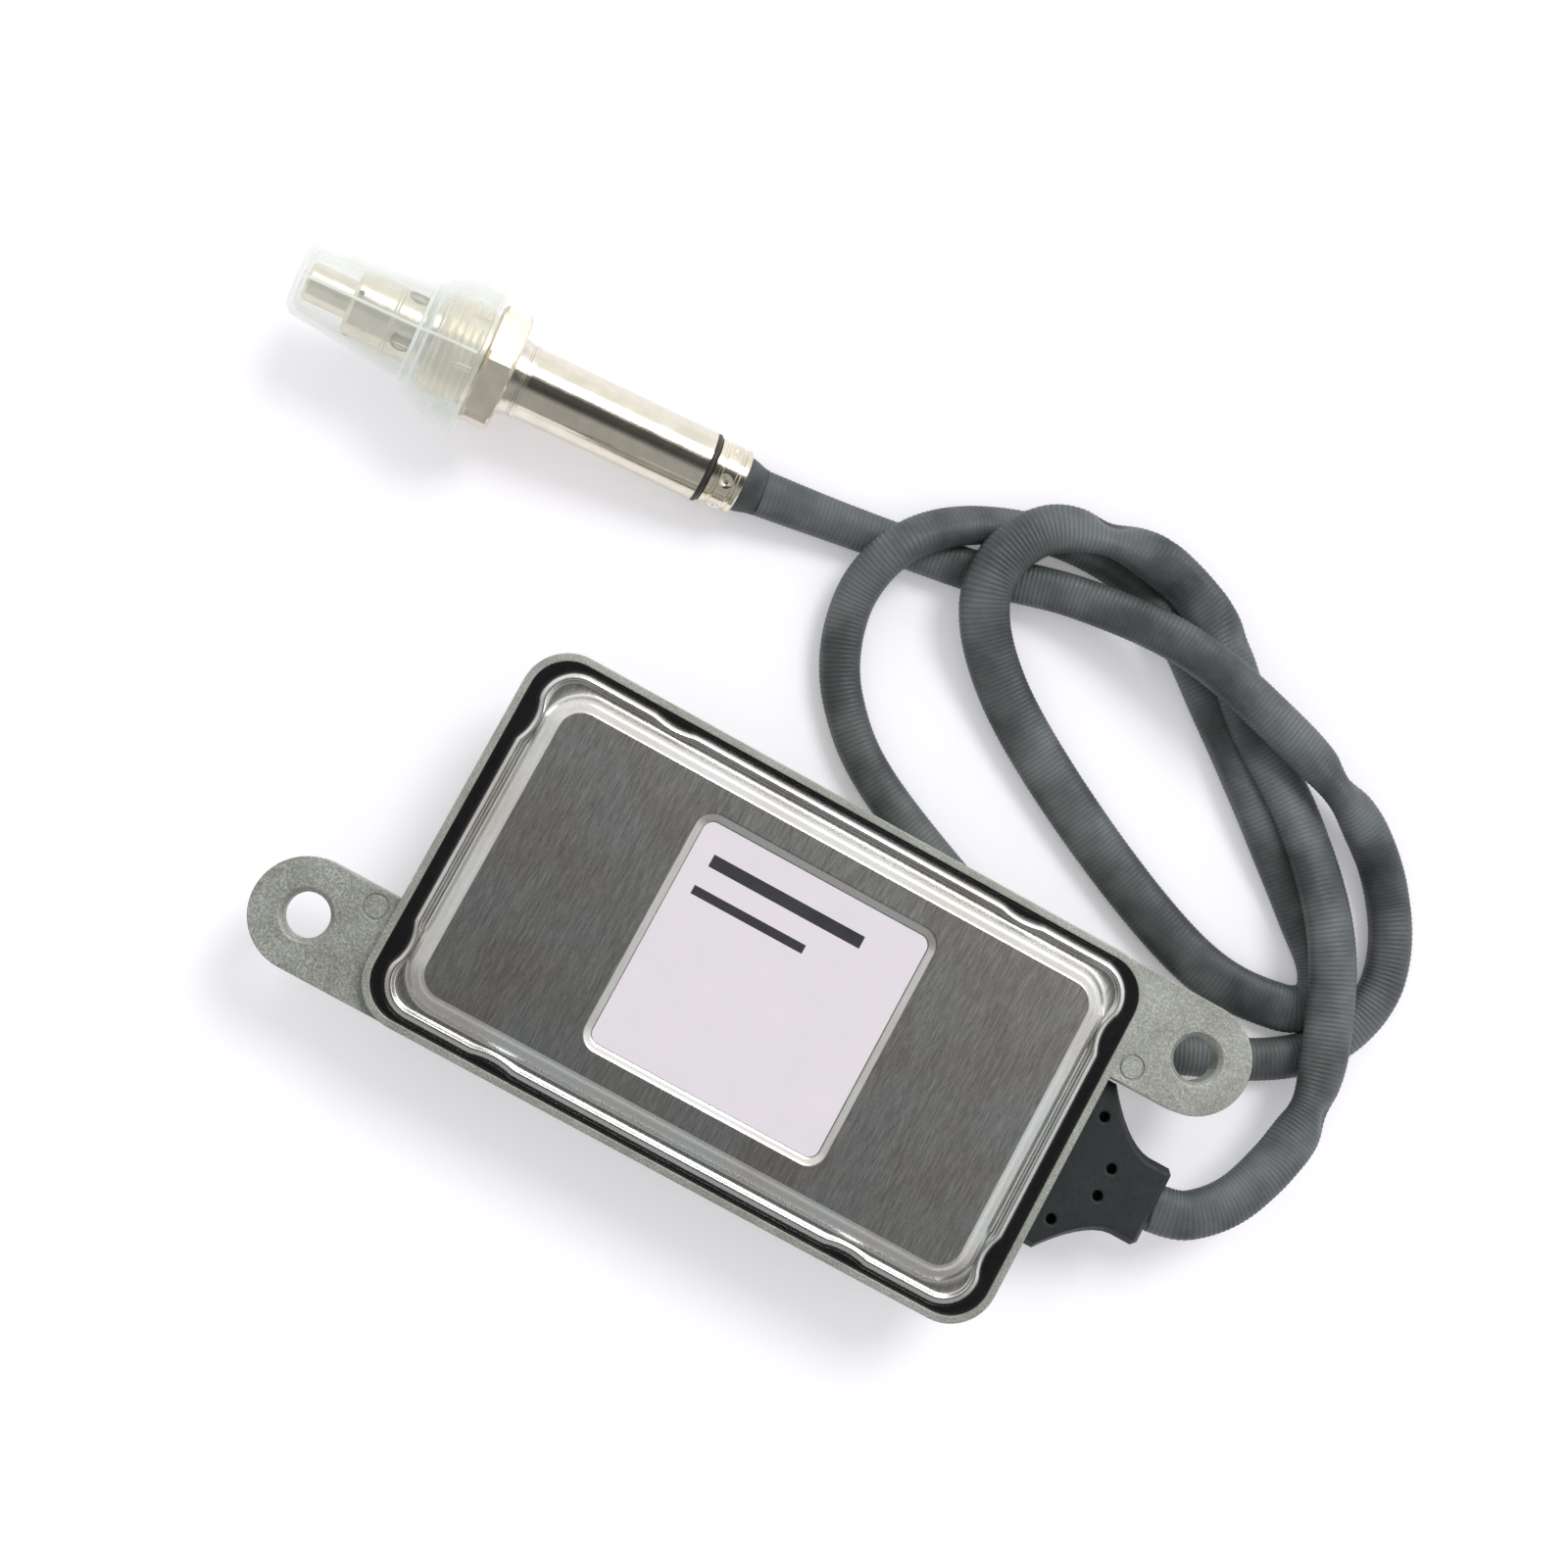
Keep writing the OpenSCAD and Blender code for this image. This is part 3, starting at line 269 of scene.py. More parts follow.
def sleeveRings(spec, s, path):
    # ring at s: centre + side * w/2 * cos + up * t/2 * sin, turned at the folds and
    # rippled by the ribs, with a pinch that pulls one flank in at each fold
    ahead = np.gradient(path, axis=0)
    ahead /= np.linalg.norm(ahead, axis=1)[:, None]
    side = np.cross(ahead, [0, 0, 1.0])
    side /= np.linalg.norm(side, axis=1)[:, None]
    up = np.cross(side, ahead)
    at, long, angle, depth = np.array(spec["folds"], float).T[:, :, None]
    near = np.exp(-((s - at) / long) ** 2)
    roll = np.radians((near * angle).sum(0))[:, None]
    side, up = side * np.cos(roll) + up * np.sin(roll), up * np.cos(roll) - side * np.sin(roll)

    width = np.interp(s, *np.array(spec["widths"]).T)
    blend = 2 * spec["widthBlend"] + 1
    width = np.convolve(np.pad(width, spec["widthBlend"], "edge"), np.ones(blend) / blend, "valid")
    thick = spec["thick"] + (spec["width"] - width) * spec["thickening"]
    rib = spec["ribDepth"] * np.cos(2 * np.pi * s / spec["ribPitch"])

    turn = fullTurn(spec["around"])
    power = 2 / spec["squareness"]
    c = np.sign(np.cos(turn)) * np.abs(np.cos(turn)) ** power
    v = np.sign(np.sin(turn)) * np.abs(np.sin(turn)) ** power
    below, above = spec["pinchAt"]
    flank = np.exp(-((turn - np.pi * np.where(angle > 0, above, below)) / spec["pinchWide"]) ** 2)
    crease = np.exp(-((s - at) / (spec["pinchShare"] * long)) ** 2) * depth
    crease = np.einsum("fs,fa->sa", crease, flank)
    rings = (path[:, None]
             + side[:, None] * ((width / 2 + rib)[:, None] * c)[..., None]
             + up[:, None] * ((thick / 2 + rib)[:, None] * v - crease)[..., None])
    rings[..., 2] = np.maximum(rings[..., 2], spec["clearance"])
    return rings


def makeCable(spec, material):
    s, path = cableLine(spec)
    rings = sleeveRings(spec, s, path)[:, ::-1]  # turned round, so that the faces point outwards
    points, faces = closedTube(rings * mm)
    piece = meshPiece("cableSleeve", points, faces, material)
    # UV: the share of the way round the sleeve, and the millimetres along it, for its ribs
    around = np.append(np.tile(np.arange(spec["around"]) / spec["around"], len(s)), [0, 0])
    along = np.append(np.repeat(s, spec["around"]), [0, s[-1]])
    loops = np.zeros(len(piece.data.loops), int)
    piece.data.loops.foreach_get("vertex_index", loops)
    layer = piece.data.uv_layers.new(name="UVMap")
    layer.data.foreach_set("uv", np.stack([around[loops], along[loops]], 1).ravel())
    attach(piece, "module")
    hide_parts("cable_sleeve")
    print("cable length", round(s[-1], 1), "mm,", len(s), "rings")


noiseRange = {"From Min": 0.3, "From Max": 0.7}  # where most of a noise's values lie


def ribbedSleeve():
    # woven fibreglass hose coated in grey rubber: dull, with a painted highlight on the crests of
    # its ribs;
    # patches 12 mm wide are painted lighter and darker as lit and shaded stretches, and the coating
    # has a grit of 0.4 mm
    material, tree, shader, place = newMaterial("ribbedSleeve", Roughness=0.5, IOR=1.5)
    coords = addNode(tree, "ShaderNodeTexCoord")
    along = addNode(tree, "ShaderNodeSeparateXYZ", {"Vector": coords.outputs["UV"]})
    phase = addNode(tree, "ShaderNodeMath", {0: along.outputs["Y"],
                                             1: 2 * math.pi / cableSpec["ribPitch"]},
                    operation="MULTIPLY")
    crest = addNode(tree, "ShaderNodeMath", {0: phase.outputs[0]}, operation="COSINE")
    cloud = addNode(tree, "ShaderNodeTexNoise", {"Vector": place, "Scale": 0.08, "Detail": 4})
    grit = addNode(tree, "ShaderNodeTexNoise", {"Vector": place, "Scale": 2.5, "Detail": 2})
    # painted light and shade: the patches run from a shaded grey to a lit grey
    base = addNode(tree, "ShaderNodeValToRGB", {"Fac": cloud.outputs["Fac"]},
                   stops=[(0.36, "#3f4444"), (0.64, "#666c6c")])
    # painted highlight on the rib crests, stronger on the lighter patches
    paintedCrestHighlight = addNode(tree, "ShaderNodeMapRange", {
        "Value": cloud.outputs["Fac"], "From Min": 0.35, "From Max": 0.65,
        "To Min": 0.04, "To Max": 0.14})
    level = addNode(tree, "ShaderNodeMath", {0: crest.outputs[0], 1: paintedCrestHighlight.outputs["Result"],
                                             2: 0.96}, operation="MULTIPLY_ADD")
    shade = addNode(tree, "ShaderNodeVectorMath", {0: base.outputs["Color"],
                                                   "Scale": level.outputs[0]}, operation="SCALE")
    sheen = addNode(tree, "ShaderNodeMapRange", {
        "Value": grit.outputs["Fac"], **noiseRange, "To Min": 0.42, "To Max": 0.6})
    relief = addNode(tree, "ShaderNodeBump", {"Height": grit.outputs["Fac"],
                                              "Distance": 0.03 * mm})
    feed(tree, shader, {"Base Color": shade.outputs["Vector"], "Roughness": sheen.outputs["Result"],
                        "Normal": relief.outputs["Normal"]})
    return material


makeCable(cableSpec, ribbedSleeve())


def castAluminium():
    # die-cast aluminium, shot-blasted: pale grey, its dull skin hiding part of the mirror, with
    # specks of 0.3 mm, stains 7 mm wide, and edges that catch the light as if rounded
    material, tree, shader, place = newMaterial("castAluminium", Metallic=0.75, Roughness=0.5)
    speck = addNode(tree, "ShaderNodeTexNoise", {"Vector": place, "Scale": 3.0, "Detail": 2})
    cloud = addNode(tree, "ShaderNodeTexNoise", {"Vector": place, "Scale": 0.15, "Detail": 3})
    grains = addNode(tree, "ShaderNodeValToRGB", {"Fac": speck.outputs["Fac"]},
                     stops=[(0.34, "#a9aca5"), (0.5, "#b9bcb5"), (0.7, "#d6d9d2")])
    stain = addNode(tree, "ShaderNodeValToRGB", {"Fac": cloud.outputs["Fac"]},
                    stops=[(0.3, "#e2e2de"), (0.7, "#ffffff")])
    # sockets 6 and 7 of a colour mix are its two colours, and output 2 is the result
    mix = addNode(tree, "ShaderNodeMix", {"Factor": 1.0, 6: grains.outputs["Color"],
                                          7: stain.outputs["Color"]},
                  data_type="RGBA", blend_type="MULTIPLY")
    grit = addNode(tree, "ShaderNodeMapRange", {
        "Value": speck.outputs["Fac"], **noiseRange, "To Min": 0.42, "To Max": 0.56})
    edge = addNode(tree, "ShaderNodeBevel", {"Radius": 0.35 * mm}, samples=4)
    relief = addNode(tree, "ShaderNodeBump", {"Height": speck.outputs["Fac"],
                                              "Distance": 0.008 * mm,
                                              "Normal": edge.outputs["Normal"]})
    feed(tree, shader, {"Base Color": mix.outputs[2], "Roughness": grit.outputs["Result"],
                        "Normal": relief.outputs["Normal"]})
    return material


def brushedSheet():
    # stainless sheet brushed across: bright, with streaks 0.2 mm wide and 3 mm long, which are
    # drawn coarser than the real ones so that they show, and faint warm and cool blotches
    material, tree, shader, place = newMaterial("brushedSheet", Metallic=1.0, Roughness=0.27)
    streakPlace = addNode(tree, "ShaderNodeMapping", {"Vector": place, "Scale": (5.0, 0.3, 5.0)})
    streaks = addNode(tree, "ShaderNodeTexNoise", {"Vector": streakPlace.outputs["Vector"],
                                                   "Scale": 1.0, "Detail": 3, "Roughness": 0.7})
    cloud = addNode(tree, "ShaderNodeTexNoise", {"Vector": place, "Scale": 0.06, "Detail": 3})
    base = addNode(tree, "ShaderNodeValToRGB", {"Fac": cloud.outputs["Fac"]},
                   stops=[(0.34, "#e0dbd5"), (0.5, "#e6e5e2"), (0.68, "#e3e8e5")])
    line = addNode(tree, "ShaderNodeValToRGB", {"Fac": streaks.outputs["Fac"]},
                   stops=[(0.3, "#e4e4e4"), (0.7, "#ffffff")])
    mix = addNode(tree, "ShaderNodeMix", {"Factor": 1.0, 6: base.outputs["Color"],
                                          7: line.outputs["Color"]},
                  data_type="RGBA", blend_type="MULTIPLY")
    polish = addNode(tree, "ShaderNodeMapRange", {
        "Value": streaks.outputs["Fac"], **noiseRange, "To Min": 0.24, "To Max": 0.31})
    relief = addNode(tree, "ShaderNodeBump", {"Height": streaks.outputs["Fac"],
                                              "Distance": 0.0004 * mm})
    feed(tree, shader, {"Base Color": mix.outputs[2], "Roughness": polish.outputs["Result"],
                        "Normal": relief.outputs["Normal"]})
    return material


def smoothMetal(name, pale, dark, rough, depth=0.0012):
    # metal turned, drawn or plated smooth: soft clouds 3 mm wide, a trace of 0.8 mm unevenness;
    # roughness is given at its middle and depth in mm
    material, tree, shader, place = newMaterial(name, Metallic=1.0, Roughness=rough)
    cloud = addNode(tree, "ShaderNodeTexNoise", {"Vector": place, "Scale": 0.3, "Detail": 3})
    speck = addNode(tree, "ShaderNodeTexNoise", {"Vector": place, "Scale": 1.2, "Detail": 2})
    base = addNode(tree, "ShaderNodeValToRGB", {"Fac": cloud.outputs["Fac"]},
                   stops=[(0.32, dark), (0.68, pale)])
    polish = addNode(tree, "ShaderNodeMapRange", {
        "Value": cloud.outputs["Fac"], **noiseRange,
        "To Min": rough * 0.85, "To Max": rough * 1.15})
    relief = addNode(tree, "ShaderNodeBump", {"Height": speck.outputs["Fac"],
                                              "Distance": depth * mm})
    feed(tree, shader, {"Base Color": base.outputs["Color"], "Roughness": polish.outputs["Result"],
                        "Normal": relief.outputs["Normal"]})
    return material


def mouldedPolymer(name, pale, dark, rough, grain=2.0, depth=0.015, ior=1.5, edgeRadius=0.0):
    # moulded rubber or plastic: even colour with clouds 5 mm wide, and the mould's fine grain;
    # grain is in grains per mm, its depth and the radius that edges are shaded with in mm
    material, tree, shader, place = newMaterial(name, Roughness=rough, IOR=ior)
    cloud = addNode(tree, "ShaderNodeTexNoise", {"Vector": place, "Scale": 0.2, "Detail": 3})
    fine = addNode(tree, "ShaderNodeTexNoise", {"Vector": place, "Scale": grain, "Detail": 3})
    base = addNode(tree, "ShaderNodeValToRGB", {"Fac": cloud.outputs["Fac"]},
                   stops=[(0.3, dark), (0.7, pale)])
    polish = addNode(tree, "ShaderNodeMapRange", {
        "Value": fine.outputs["Fac"], **noiseRange,
        "To Min": rough * 0.85, "To Max": rough * 1.15})
    relief = addNode(tree, "ShaderNodeBump", {"Height": fine.outputs["Fac"],
                                              "Distance": depth * mm})
    if edgeRadius:
        edge = addNode(tree, "ShaderNodeBevel", {"Radius": edgeRadius * mm}, samples=4)
        feed(tree, relief, {"Normal": edge.outputs["Normal"]})
    feed(tree, shader, {"Base Color": base.outputs["Color"], "Roughness": polish.outputs["Result"],
                        "Normal": relief.outputs["Normal"]})
    return material


def milkyPolypropylene(name, clear, dense):
    # natural polypropylene, injection moulded: milky and see-through, denser at the edges;
    # clear and dense are its cover seen straight and edge-on, and the faint glow stands for
    # the light that scatters through its wall
    material, tree, shader, place = newMaterial(name, Roughness=0.25, IOR=1.49,
                                                Emission_Color=linearColor("#f4f8f4"),
                                                Emission_Strength=0.13)
    cloud = addNode(tree, "ShaderNodeTexNoise", {"Vector": place, "Scale": 0.2, "Detail": 3})
    base = addNode(tree, "ShaderNodeValToRGB", {"Fac": cloud.outputs["Fac"]},
                   stops=[(0.3, "#e4e9e4"), (0.7, "#eff3ef")])
    facing = addNode(tree, "ShaderNodeLayerWeight", {"Blend": 0.35})
    cover = addNode(tree, "ShaderNodeMapRange", {
        "Value": facing.outputs["Facing"], "From Min": 0.1, "From Max": 0.85,
        "To Min": clear, "To Max": dense})
    relief = addNode(tree, "ShaderNodeBump", {"Height": cloud.outputs["Fac"],
                                              "Distance": 0.02 * mm})
    feed(tree, shader, {"Base Color": base.outputs["Color"], "Alpha": cover.outputs["Result"],
                        "Normal": relief.outputs["Normal"]})
    return material


finishes = {material.name: material for material in (
    castAluminium(),
    brushedSheet(),
    # poured sealing compound: wet black gloss, its IOR raised until the sheen shows
    mouldedPolymer("glossySealant", "#141517", "#0a0b0c", rough=0.16, grain=0.6, depth=0.05,
                   ior=1.8, edgeRadius=0.7),
    # coated polyester foil: pale lilac and glossy
    mouldedPolymer("labelFoil", "#e9e3e9", "#e6dfe7", rough=0.22, grain=0.8, depth=0.002),
    # printing ink: bluish black, duller than the foil
    mouldedPolymer("printInk", "#34323a", "#2a2930", rough=0.5),
    # glass-epoxy laminate under green lacquer
    mouldedPolymer("boardLaminate", "#2c5a3c", "#234c32", rough=0.35, grain=1.0),
    # moulded epoxy: matt black
    mouldedPolymer("epoxyPackage", "#222326", "#18191b", rough=0.6),
    # drawn aluminium cans: cool grey
    smoothMetal("canAluminium", "#c9cbd0", "#b6b8bd", rough=0.3),
    # lacquered copper winding: brown, half gloss
    mouldedPolymer("lacqueredWire", "#6b4a34", "#553a28", rough=0.35),
    # zinc-plated steel: neutral grey
    smoothMetal("platedSteel", "#c9cacb", "#b2b3b5", rough=0.3),
    # moulded glass-filled nylon: matt charcoal
    mouldedPolymer("glassFilledNylon", "#2c3032", "#212526", rough=0.6),
    # brass under a thin coat of tin: pale yellow
    smoothMetal("tinnedBrass", "#d6c07a", "#bda865", rough=0.25),
    # silicone rubber: brick red
    mouldedPolymer("siliconeSeal", "#7a2f24", "#65261d", rough=0.5),
    # moulded charcoal rubber whose bevels catch the light
    mouldedPolymer("bootRubber", "#252a2c", "#1f2426", rough=0.45, grain=1.4, depth=0.012,
                   edgeRadius=0.9),
    # coated sleeve, shrunk smooth at the cable's end: grey, dull
    mouldedPolymer("sleeveEnd", "#484d4d", "#3d4242", rough=0.5, grain=1.2, depth=0.03),
    # turned stainless steel, satin and warm
    smoothMetal("nutSteel", "#f3ecda", "#e9e2d0", rough=0.38),
    # turned and welded stainless steel, half bright
    smoothMetal("probeSteel", "#ebe7db", "#d6d1c4", rough=0.24),
    # drawn heat-resistant steel with a straw tint
    smoothMetal("shieldSteel", "#efe6ce", "#dcd2ba", rough=0.24),
    # polished stainless tube: nearly a mirror, faintly warm
    smoothMetal("polishedSteel", "#e8e3d3", "#dfd9ca", rough=0.13, depth=0.0006),
    # pressed stainless steel, bright and warm
    smoothMetal("crimpSteel", "#efe8d6", "#ddd6c3", rough=0.15),
    # sintered alumina: off-white, matt
    mouldedPolymer("sinteredCeramic", "#f1efe8", "#e4e1d8", rough=0.55),
    # pressed talc powder: chalky
    mouldedPolymer("pressedTalc", "#d5d1c4", "#c4c0b2", rough=0.8),
    # fluorine rubber: brownish black, half gloss
    mouldedPolymer("sealRubber", "#3a3831", "#2c2a25", rough=0.4),
    # moulded rubber: dark grey
    mouldedPolymer("grommetRubber", "#2e3133", "#242728", rough=0.55),
    # extruded fluoropolymer: ivory and slippery smooth
    mouldedPolymer("fluoroCover", "#dcd7c8", "#cec8b7", rough=0.35),
    # the cap's thin wall, and its rings and parting lines, where the plastic is thicker
    milkyPolypropylene("milkyPolypropylene", clear=0.21, dense=0.6),
    milkyPolypropylene("thickPolypropylene", clear=0.55, dense=0.8),
)}

nodeFinish = {
    "housing": "castAluminium", "lid": "brushedSheet", "sealant_bead": "glossySealant",
    "label": "labelFoil", "circuit_board": "boardLaminate", "microcontroller": "epoxyPackage",
    "driver_chips": "epoxyPackage", "capacitors": "canAluminium", "filter_coil": "lacqueredWire",
    "clock_crystal": "platedSteel", "board_screws": "platedSteel",
    "vehicle_socket": "glassFilledNylon", "socket_pins": "tinnedBrass",
    "socket_gasket": "siliconeSeal", "cable_boot": "bootRubber", "boot_contacts": "tinnedBrass",
    "cable_sleeve": "sleeveEnd", "sleeve_collar": "sleeveEnd", "union_nut": "nutSteel",
    "protective_cap": "milkyPolypropylene", "probe_body": "probeSteel",
    "outer_shield": "shieldSteel", "inner_shield": "shieldSteel",
    "sensing_element": "sinteredCeramic", "front_insulator": "sinteredCeramic",
    "talc_seal": "pressedTalc", "rear_insulator": "sinteredCeramic",
    "contact_holder": "sinteredCeramic", "contact_springs": "tinnedBrass",
    "rear_sleeve": "polishedSteel", "crimp_bush": "crimpSteel",
    "cable_grommet": "grommetRubber", "lead_wires": "fluoroCover",
}
for name, finish in nodeFinish.items():
    nodes[name].data.materials.clear()
    nodes[name].data.materials.append(finishes[finish])
print("materials given to", len(nodeFinish), "nodes")

# the stamped lid, in mm
lidSpec = {
    "length": 120.6, "width": 69.8, "corner": 7.0, "sheet": 0.8, "leastCorner": 0.4,
    "skirtZ": 22.8, "crestZ": 27.6,
    "roll": 1.3, "rollGuard": 0.4, "rollRings": 9,
    "channelRun": 0.8, "channelDrop": 0.7, "channelStart": 0.15, "channelRings": 7,
    "footLength": 115.8, "footWidth": 64.2, "footCorner": 8.0,
    "stepRun": 3.6, "stepRise": 2.4, "stepRings": 19,
    "recessLength": 49.2, "recessWidth": 48.0, "recessCorner": 3.6,
    "recessRun": 1.5, "recessDrop": 0.8, "recessRings": 9, "floorRun": 8.0,
    "slope": 0.35,  # of the steps' walls, from 0 for an S shape to 1 for a straight ramp
    "flatGuard": 0.2,  # narrow strip beside a wall, so that the flats are shaded flat
    "dentSideX": 36.0, "dentEndY": 23.0, "dentHalf": 4.2, "dentSide": 0.6, "dentEnd": 1.1,
    "dentFade": 0.5,  # share of a dent that is gone at the foot of the channel
    "edgeBand": 0.2,  # points this close to a side are dented with it
    "cornerPoints": 14, "sidePoints": 90, "endPoints": 60,
}


def roundedOutline(halfL, halfW, corner, spec):
    # quarter circles joined by straight runs, always with the same number of points
    quarter = 90 * np.arange(spec["cornerPoints"]) / (spec["cornerPoints"] - 1)
    arcs = []
    for first, sx, sy in ((0, 1, 1), (90, -1, 1), (180, -1, -1), (270, 1, -1)):
        a = np.radians(first + quarter)
        arcs.append(np.stack([sx * (halfL - corner) + corner * np.cos(a),
                              sy * (halfW - corner) + corner * np.sin(a)], 1))
    outline = []
    for i, arc in enumerate(arcs):
        count = (spec["sidePoints"], spec["endPoints"])[i % 2]
        outline += [arc, np.linspace(arc[-1], arcs[(i + 1) % 4][0], count, endpoint=False)[1:]]
    return np.vstack(outline)


def dentedOutline(halfL, halfW, corner, share, spec):
    # each dent pushes the edge inwards by a shallow arc: 1 - (distance / half its length)^2
    p = roundedOutline(halfL, halfW, corner, spec)
    for along, half, at, depth in ((0, halfW, spec["dentSideX"], spec["dentSide"]),
                                   (1, halfL, spec["dentEndY"], spec["dentEnd"])):
        across = 1 - along
        arc = np.clip(1 - ((np.abs(p[:, along]) - at) / spec["dentHalf"]) ** 2, 0, 1)
        onSide = np.abs(p[:, across]) > half - spec["edgeBand"]
        p[:, across] -= np.where(onSide, np.sign(p[:, across]) * depth * share * arc, 0)
    return p


def lidRings(spec, drop):
    # the drawn sheet from the skirt's foot to the middle of the recess: half length, half
    # width, corner, height and share of the dents for each ring; a drop gives the underside
    edge = (spec["length"] / 2, spec["width"] / 2, spec["corner"])
    foot = (spec["footLength"] / 2, spec["footWidth"] / 2, spec["footCorner"])
    recess = (spec["recessLength"] / 2, spec["recessWidth"] / 2, spec["recessCorner"])
    rings = []

    def add(outline, inset, z, share=0):
        halfL, halfW, corner = outline
        corner = max(corner - inset, spec["leastCorner"])
        rings.append((halfL - inset, halfW - inset, corner, z, share))

    roll, rollR = spec["roll"], spec["roll"] - drop
    rollZ = spec["crestZ"] - roll
    add(edge, drop, spec["skirtZ"], 1)
    add(edge, drop, rollZ - spec["rollGuard"], 1)
    for a in np.radians(np.linspace(0, 90, spec["rollRings"])):
        add(edge, roll - rollR * math.cos(a), rollZ + rollR * math.sin(a), 1)
    for t in np.linspace(spec["channelStart"], 1, spec["channelRings"]):
        add(edge, roll + spec["channelRun"] * t,
            spec["crestZ"] - drop - spec["channelDrop"] * ease(t), 1 - t * spec["dentFade"])
    channelZ = spec["crestZ"] - spec["channelDrop"] - drop
    for t in np.linspace(0, 1, spec["stepRings"]):
        steps = (ease(2 * t) + ease(2 * t - 1)) / 2  # one step after the other
        rise = steps + (t - steps) * spec["slope"]
        add(foot, spec["stepRun"] * t, channelZ + spec["stepRise"] * rise)
    panelZ = channelZ + spec["stepRise"]
    add(foot, spec["stepRun"] + spec["flatGuard"], panelZ)
    add(recess, -spec["flatGuard"], panelZ)
    for t in np.linspace(0, 1, spec["recessRings"]):
        fall = ease(t) + (t - ease(t)) * spec["slope"]
        add(recess, spec["recessRun"] * t, panelZ - spec["recessDrop"] * fall)
    for run in (spec["flatGuard"], spec["floorRun"]):
        add(recess, spec["recessRun"] + run, panelZ - spec["recessDrop"])
    return rings


def lidSurface(spec, drop):
    return np.array([atHeight(dentedOutline(halfL, halfW, corner, share, spec), z)
                     for halfL, halfW, corner, z, share in lidRings(spec, drop)])


def makeLid(spec, material):
    # the underside from its middle out to the skirt's foot, and the top back to the middle
    loop = np.concatenate([lidSurface(spec, spec["sheet"])[::-1], lidSurface(spec, 0)])
    points, faces = closedTube(loop * mm)
    piece = meshPiece("lidPressing", points, faces, material)
    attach(piece, "module")
    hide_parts("lid")


makeLid(lidSpec, finishes["brushedSheet"])
print("lid made")

# the glossy foil on the floor of the lid's recess
labelSpec = {"length": 46.0, "width": 44.8, "corner": 2.0, "lowZ": 28.5, "topZ": 28.645,
             "sharpAngle": 30}


def makeLabel(spec, material):
    # a thin plate with rounded corners
    outline = roundedOutline(spec["length"] / 2, spec["width"] / 2, spec["corner"], lidSpec)
    rings = np.array([atHeight(outline, z) for z in (spec["lowZ"], spec["topZ"])])
    points, faces = closedTube(rings * mm)
    piece = meshPiece("labelPlate", points, faces, material, sharpAngle=spec["sharpAngle"])
    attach(piece, "module")
    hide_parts("label")


makeLabel(labelSpec, finishes["labelFoil"])

# two plain bars in the place of the printed lines: centre x and y, length and height
printSpec = {"rows": [(-3.4, 16.0, 31.0, 2.4), (-8.0, 9.9, 22.8, 1.7)], "z": 28.66,
             "thick": 0.02}


def makePrint(spec, material):
    # a flat box for each bar, its four lower corners first
    points, faces = [], []
    for x, y, length, height in spec["rows"]:
        n = len(points)
        outline = square * (length, height) / 2 + (x, y)
        for z in (spec["z"] - spec["thick"], spec["z"]):
            points += atHeight(outline, z).tolist()
        faces += [[n + 3, n + 2, n + 1, n], [n + 4, n + 5, n + 6, n + 7]]
        faces += [[n + i, n + (i + 1) % 4, n + 4 + (i + 1) % 4, n + 4 + i] for i in range(4)]
    piece = meshPiece("labelBars", np.array(points) * mm, faces, material, smooth=False)
    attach(piece, "module")


makePrint(printSpec, finishes["printInk"])
print("label made")

# the union nut with its hexagon and thread, in the probe's frame
nutSpec = {
    "flats": 22.0, "hexLength": 5.8, "turn": -5.4, "bore": 7.21, "around": 240,
    # chamfer of the hexagon: distance from its end, and radius there beyond half the flats
    "chamfer": [(0, -0.2), (0.35, 0.75), (0.8, 2.0)],
    "relief": 1.1, "reliefLength": 1.2, "reliefEnd": 0.3,
    "threadR": 10.0, "threadLength": 9.6, "pitch": 1.5, "threadDepth": 0.8, "threadRings": 72,
    "threadSteep": 1.15, "crestFlat": 0.07,  # the V's gain flattens its root, the rest its crest
    "nose": 1.0, "sharpAngle": 28,
}


def makeNut(spec, material):
    # radius as a function of angle and height: hexagon behind, helical V thread in front
    turn = fullTurn(spec["around"])
    flat, facet = spec["flats"] / 2, np.pi / 3
    local = (turn - math.radians(spec["turn"])) % facet - facet / 2
    hexagon = flat / np.cos(local)
    bore = np.full_like(turn, spec["bore"])
    rings = [(bore, -spec["hexLength"])]
    for z, over in spec["chamfer"]:
        rings.append((np.minimum(hexagon, flat + over), z - spec["hexLength"]))
    for z, over in reversed(spec["chamfer"]):
        rings.append((np.minimum(hexagon, flat + over), -z))
    root = np.full_like(turn, spec["threadR"] - spec["relief"])
    rings += [(root, 0), (root, spec["reliefLength"] - spec["reliefEnd"])]
    for z in np.linspace(spec["reliefLength"], spec["threadLength"], spec["threadRings"]):
        wave = np.abs(((z / spec["pitch"] - turn / (2 * np.pi)) % 1) * 2 - 1)
        depth = spec["threadDepth"] * (spec["threadSteep"] * wave - spec["crestFlat"])
        nose = np.clip(z - spec["threadLength"] + spec["nose"], 0, None)
        rings.append((np.minimum(spec["threadR"] - np.clip(depth, 0, spec["threadDepth"]),
                                 spec["threadR"] - nose), z))
    rings.append((bore, spec["threadLength"]))
    radius = np.array([r for r, z in rings])
    height = np.array([[z] for r, z in rings])
    piece = turnedPiece("threadedNut", radius, height, turn, material, spec["sharpAngle"])
    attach(piece, "nut")
    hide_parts("union_nut")


makeNut(nutSpec, finishes["nutSteel"])
print("nut made")

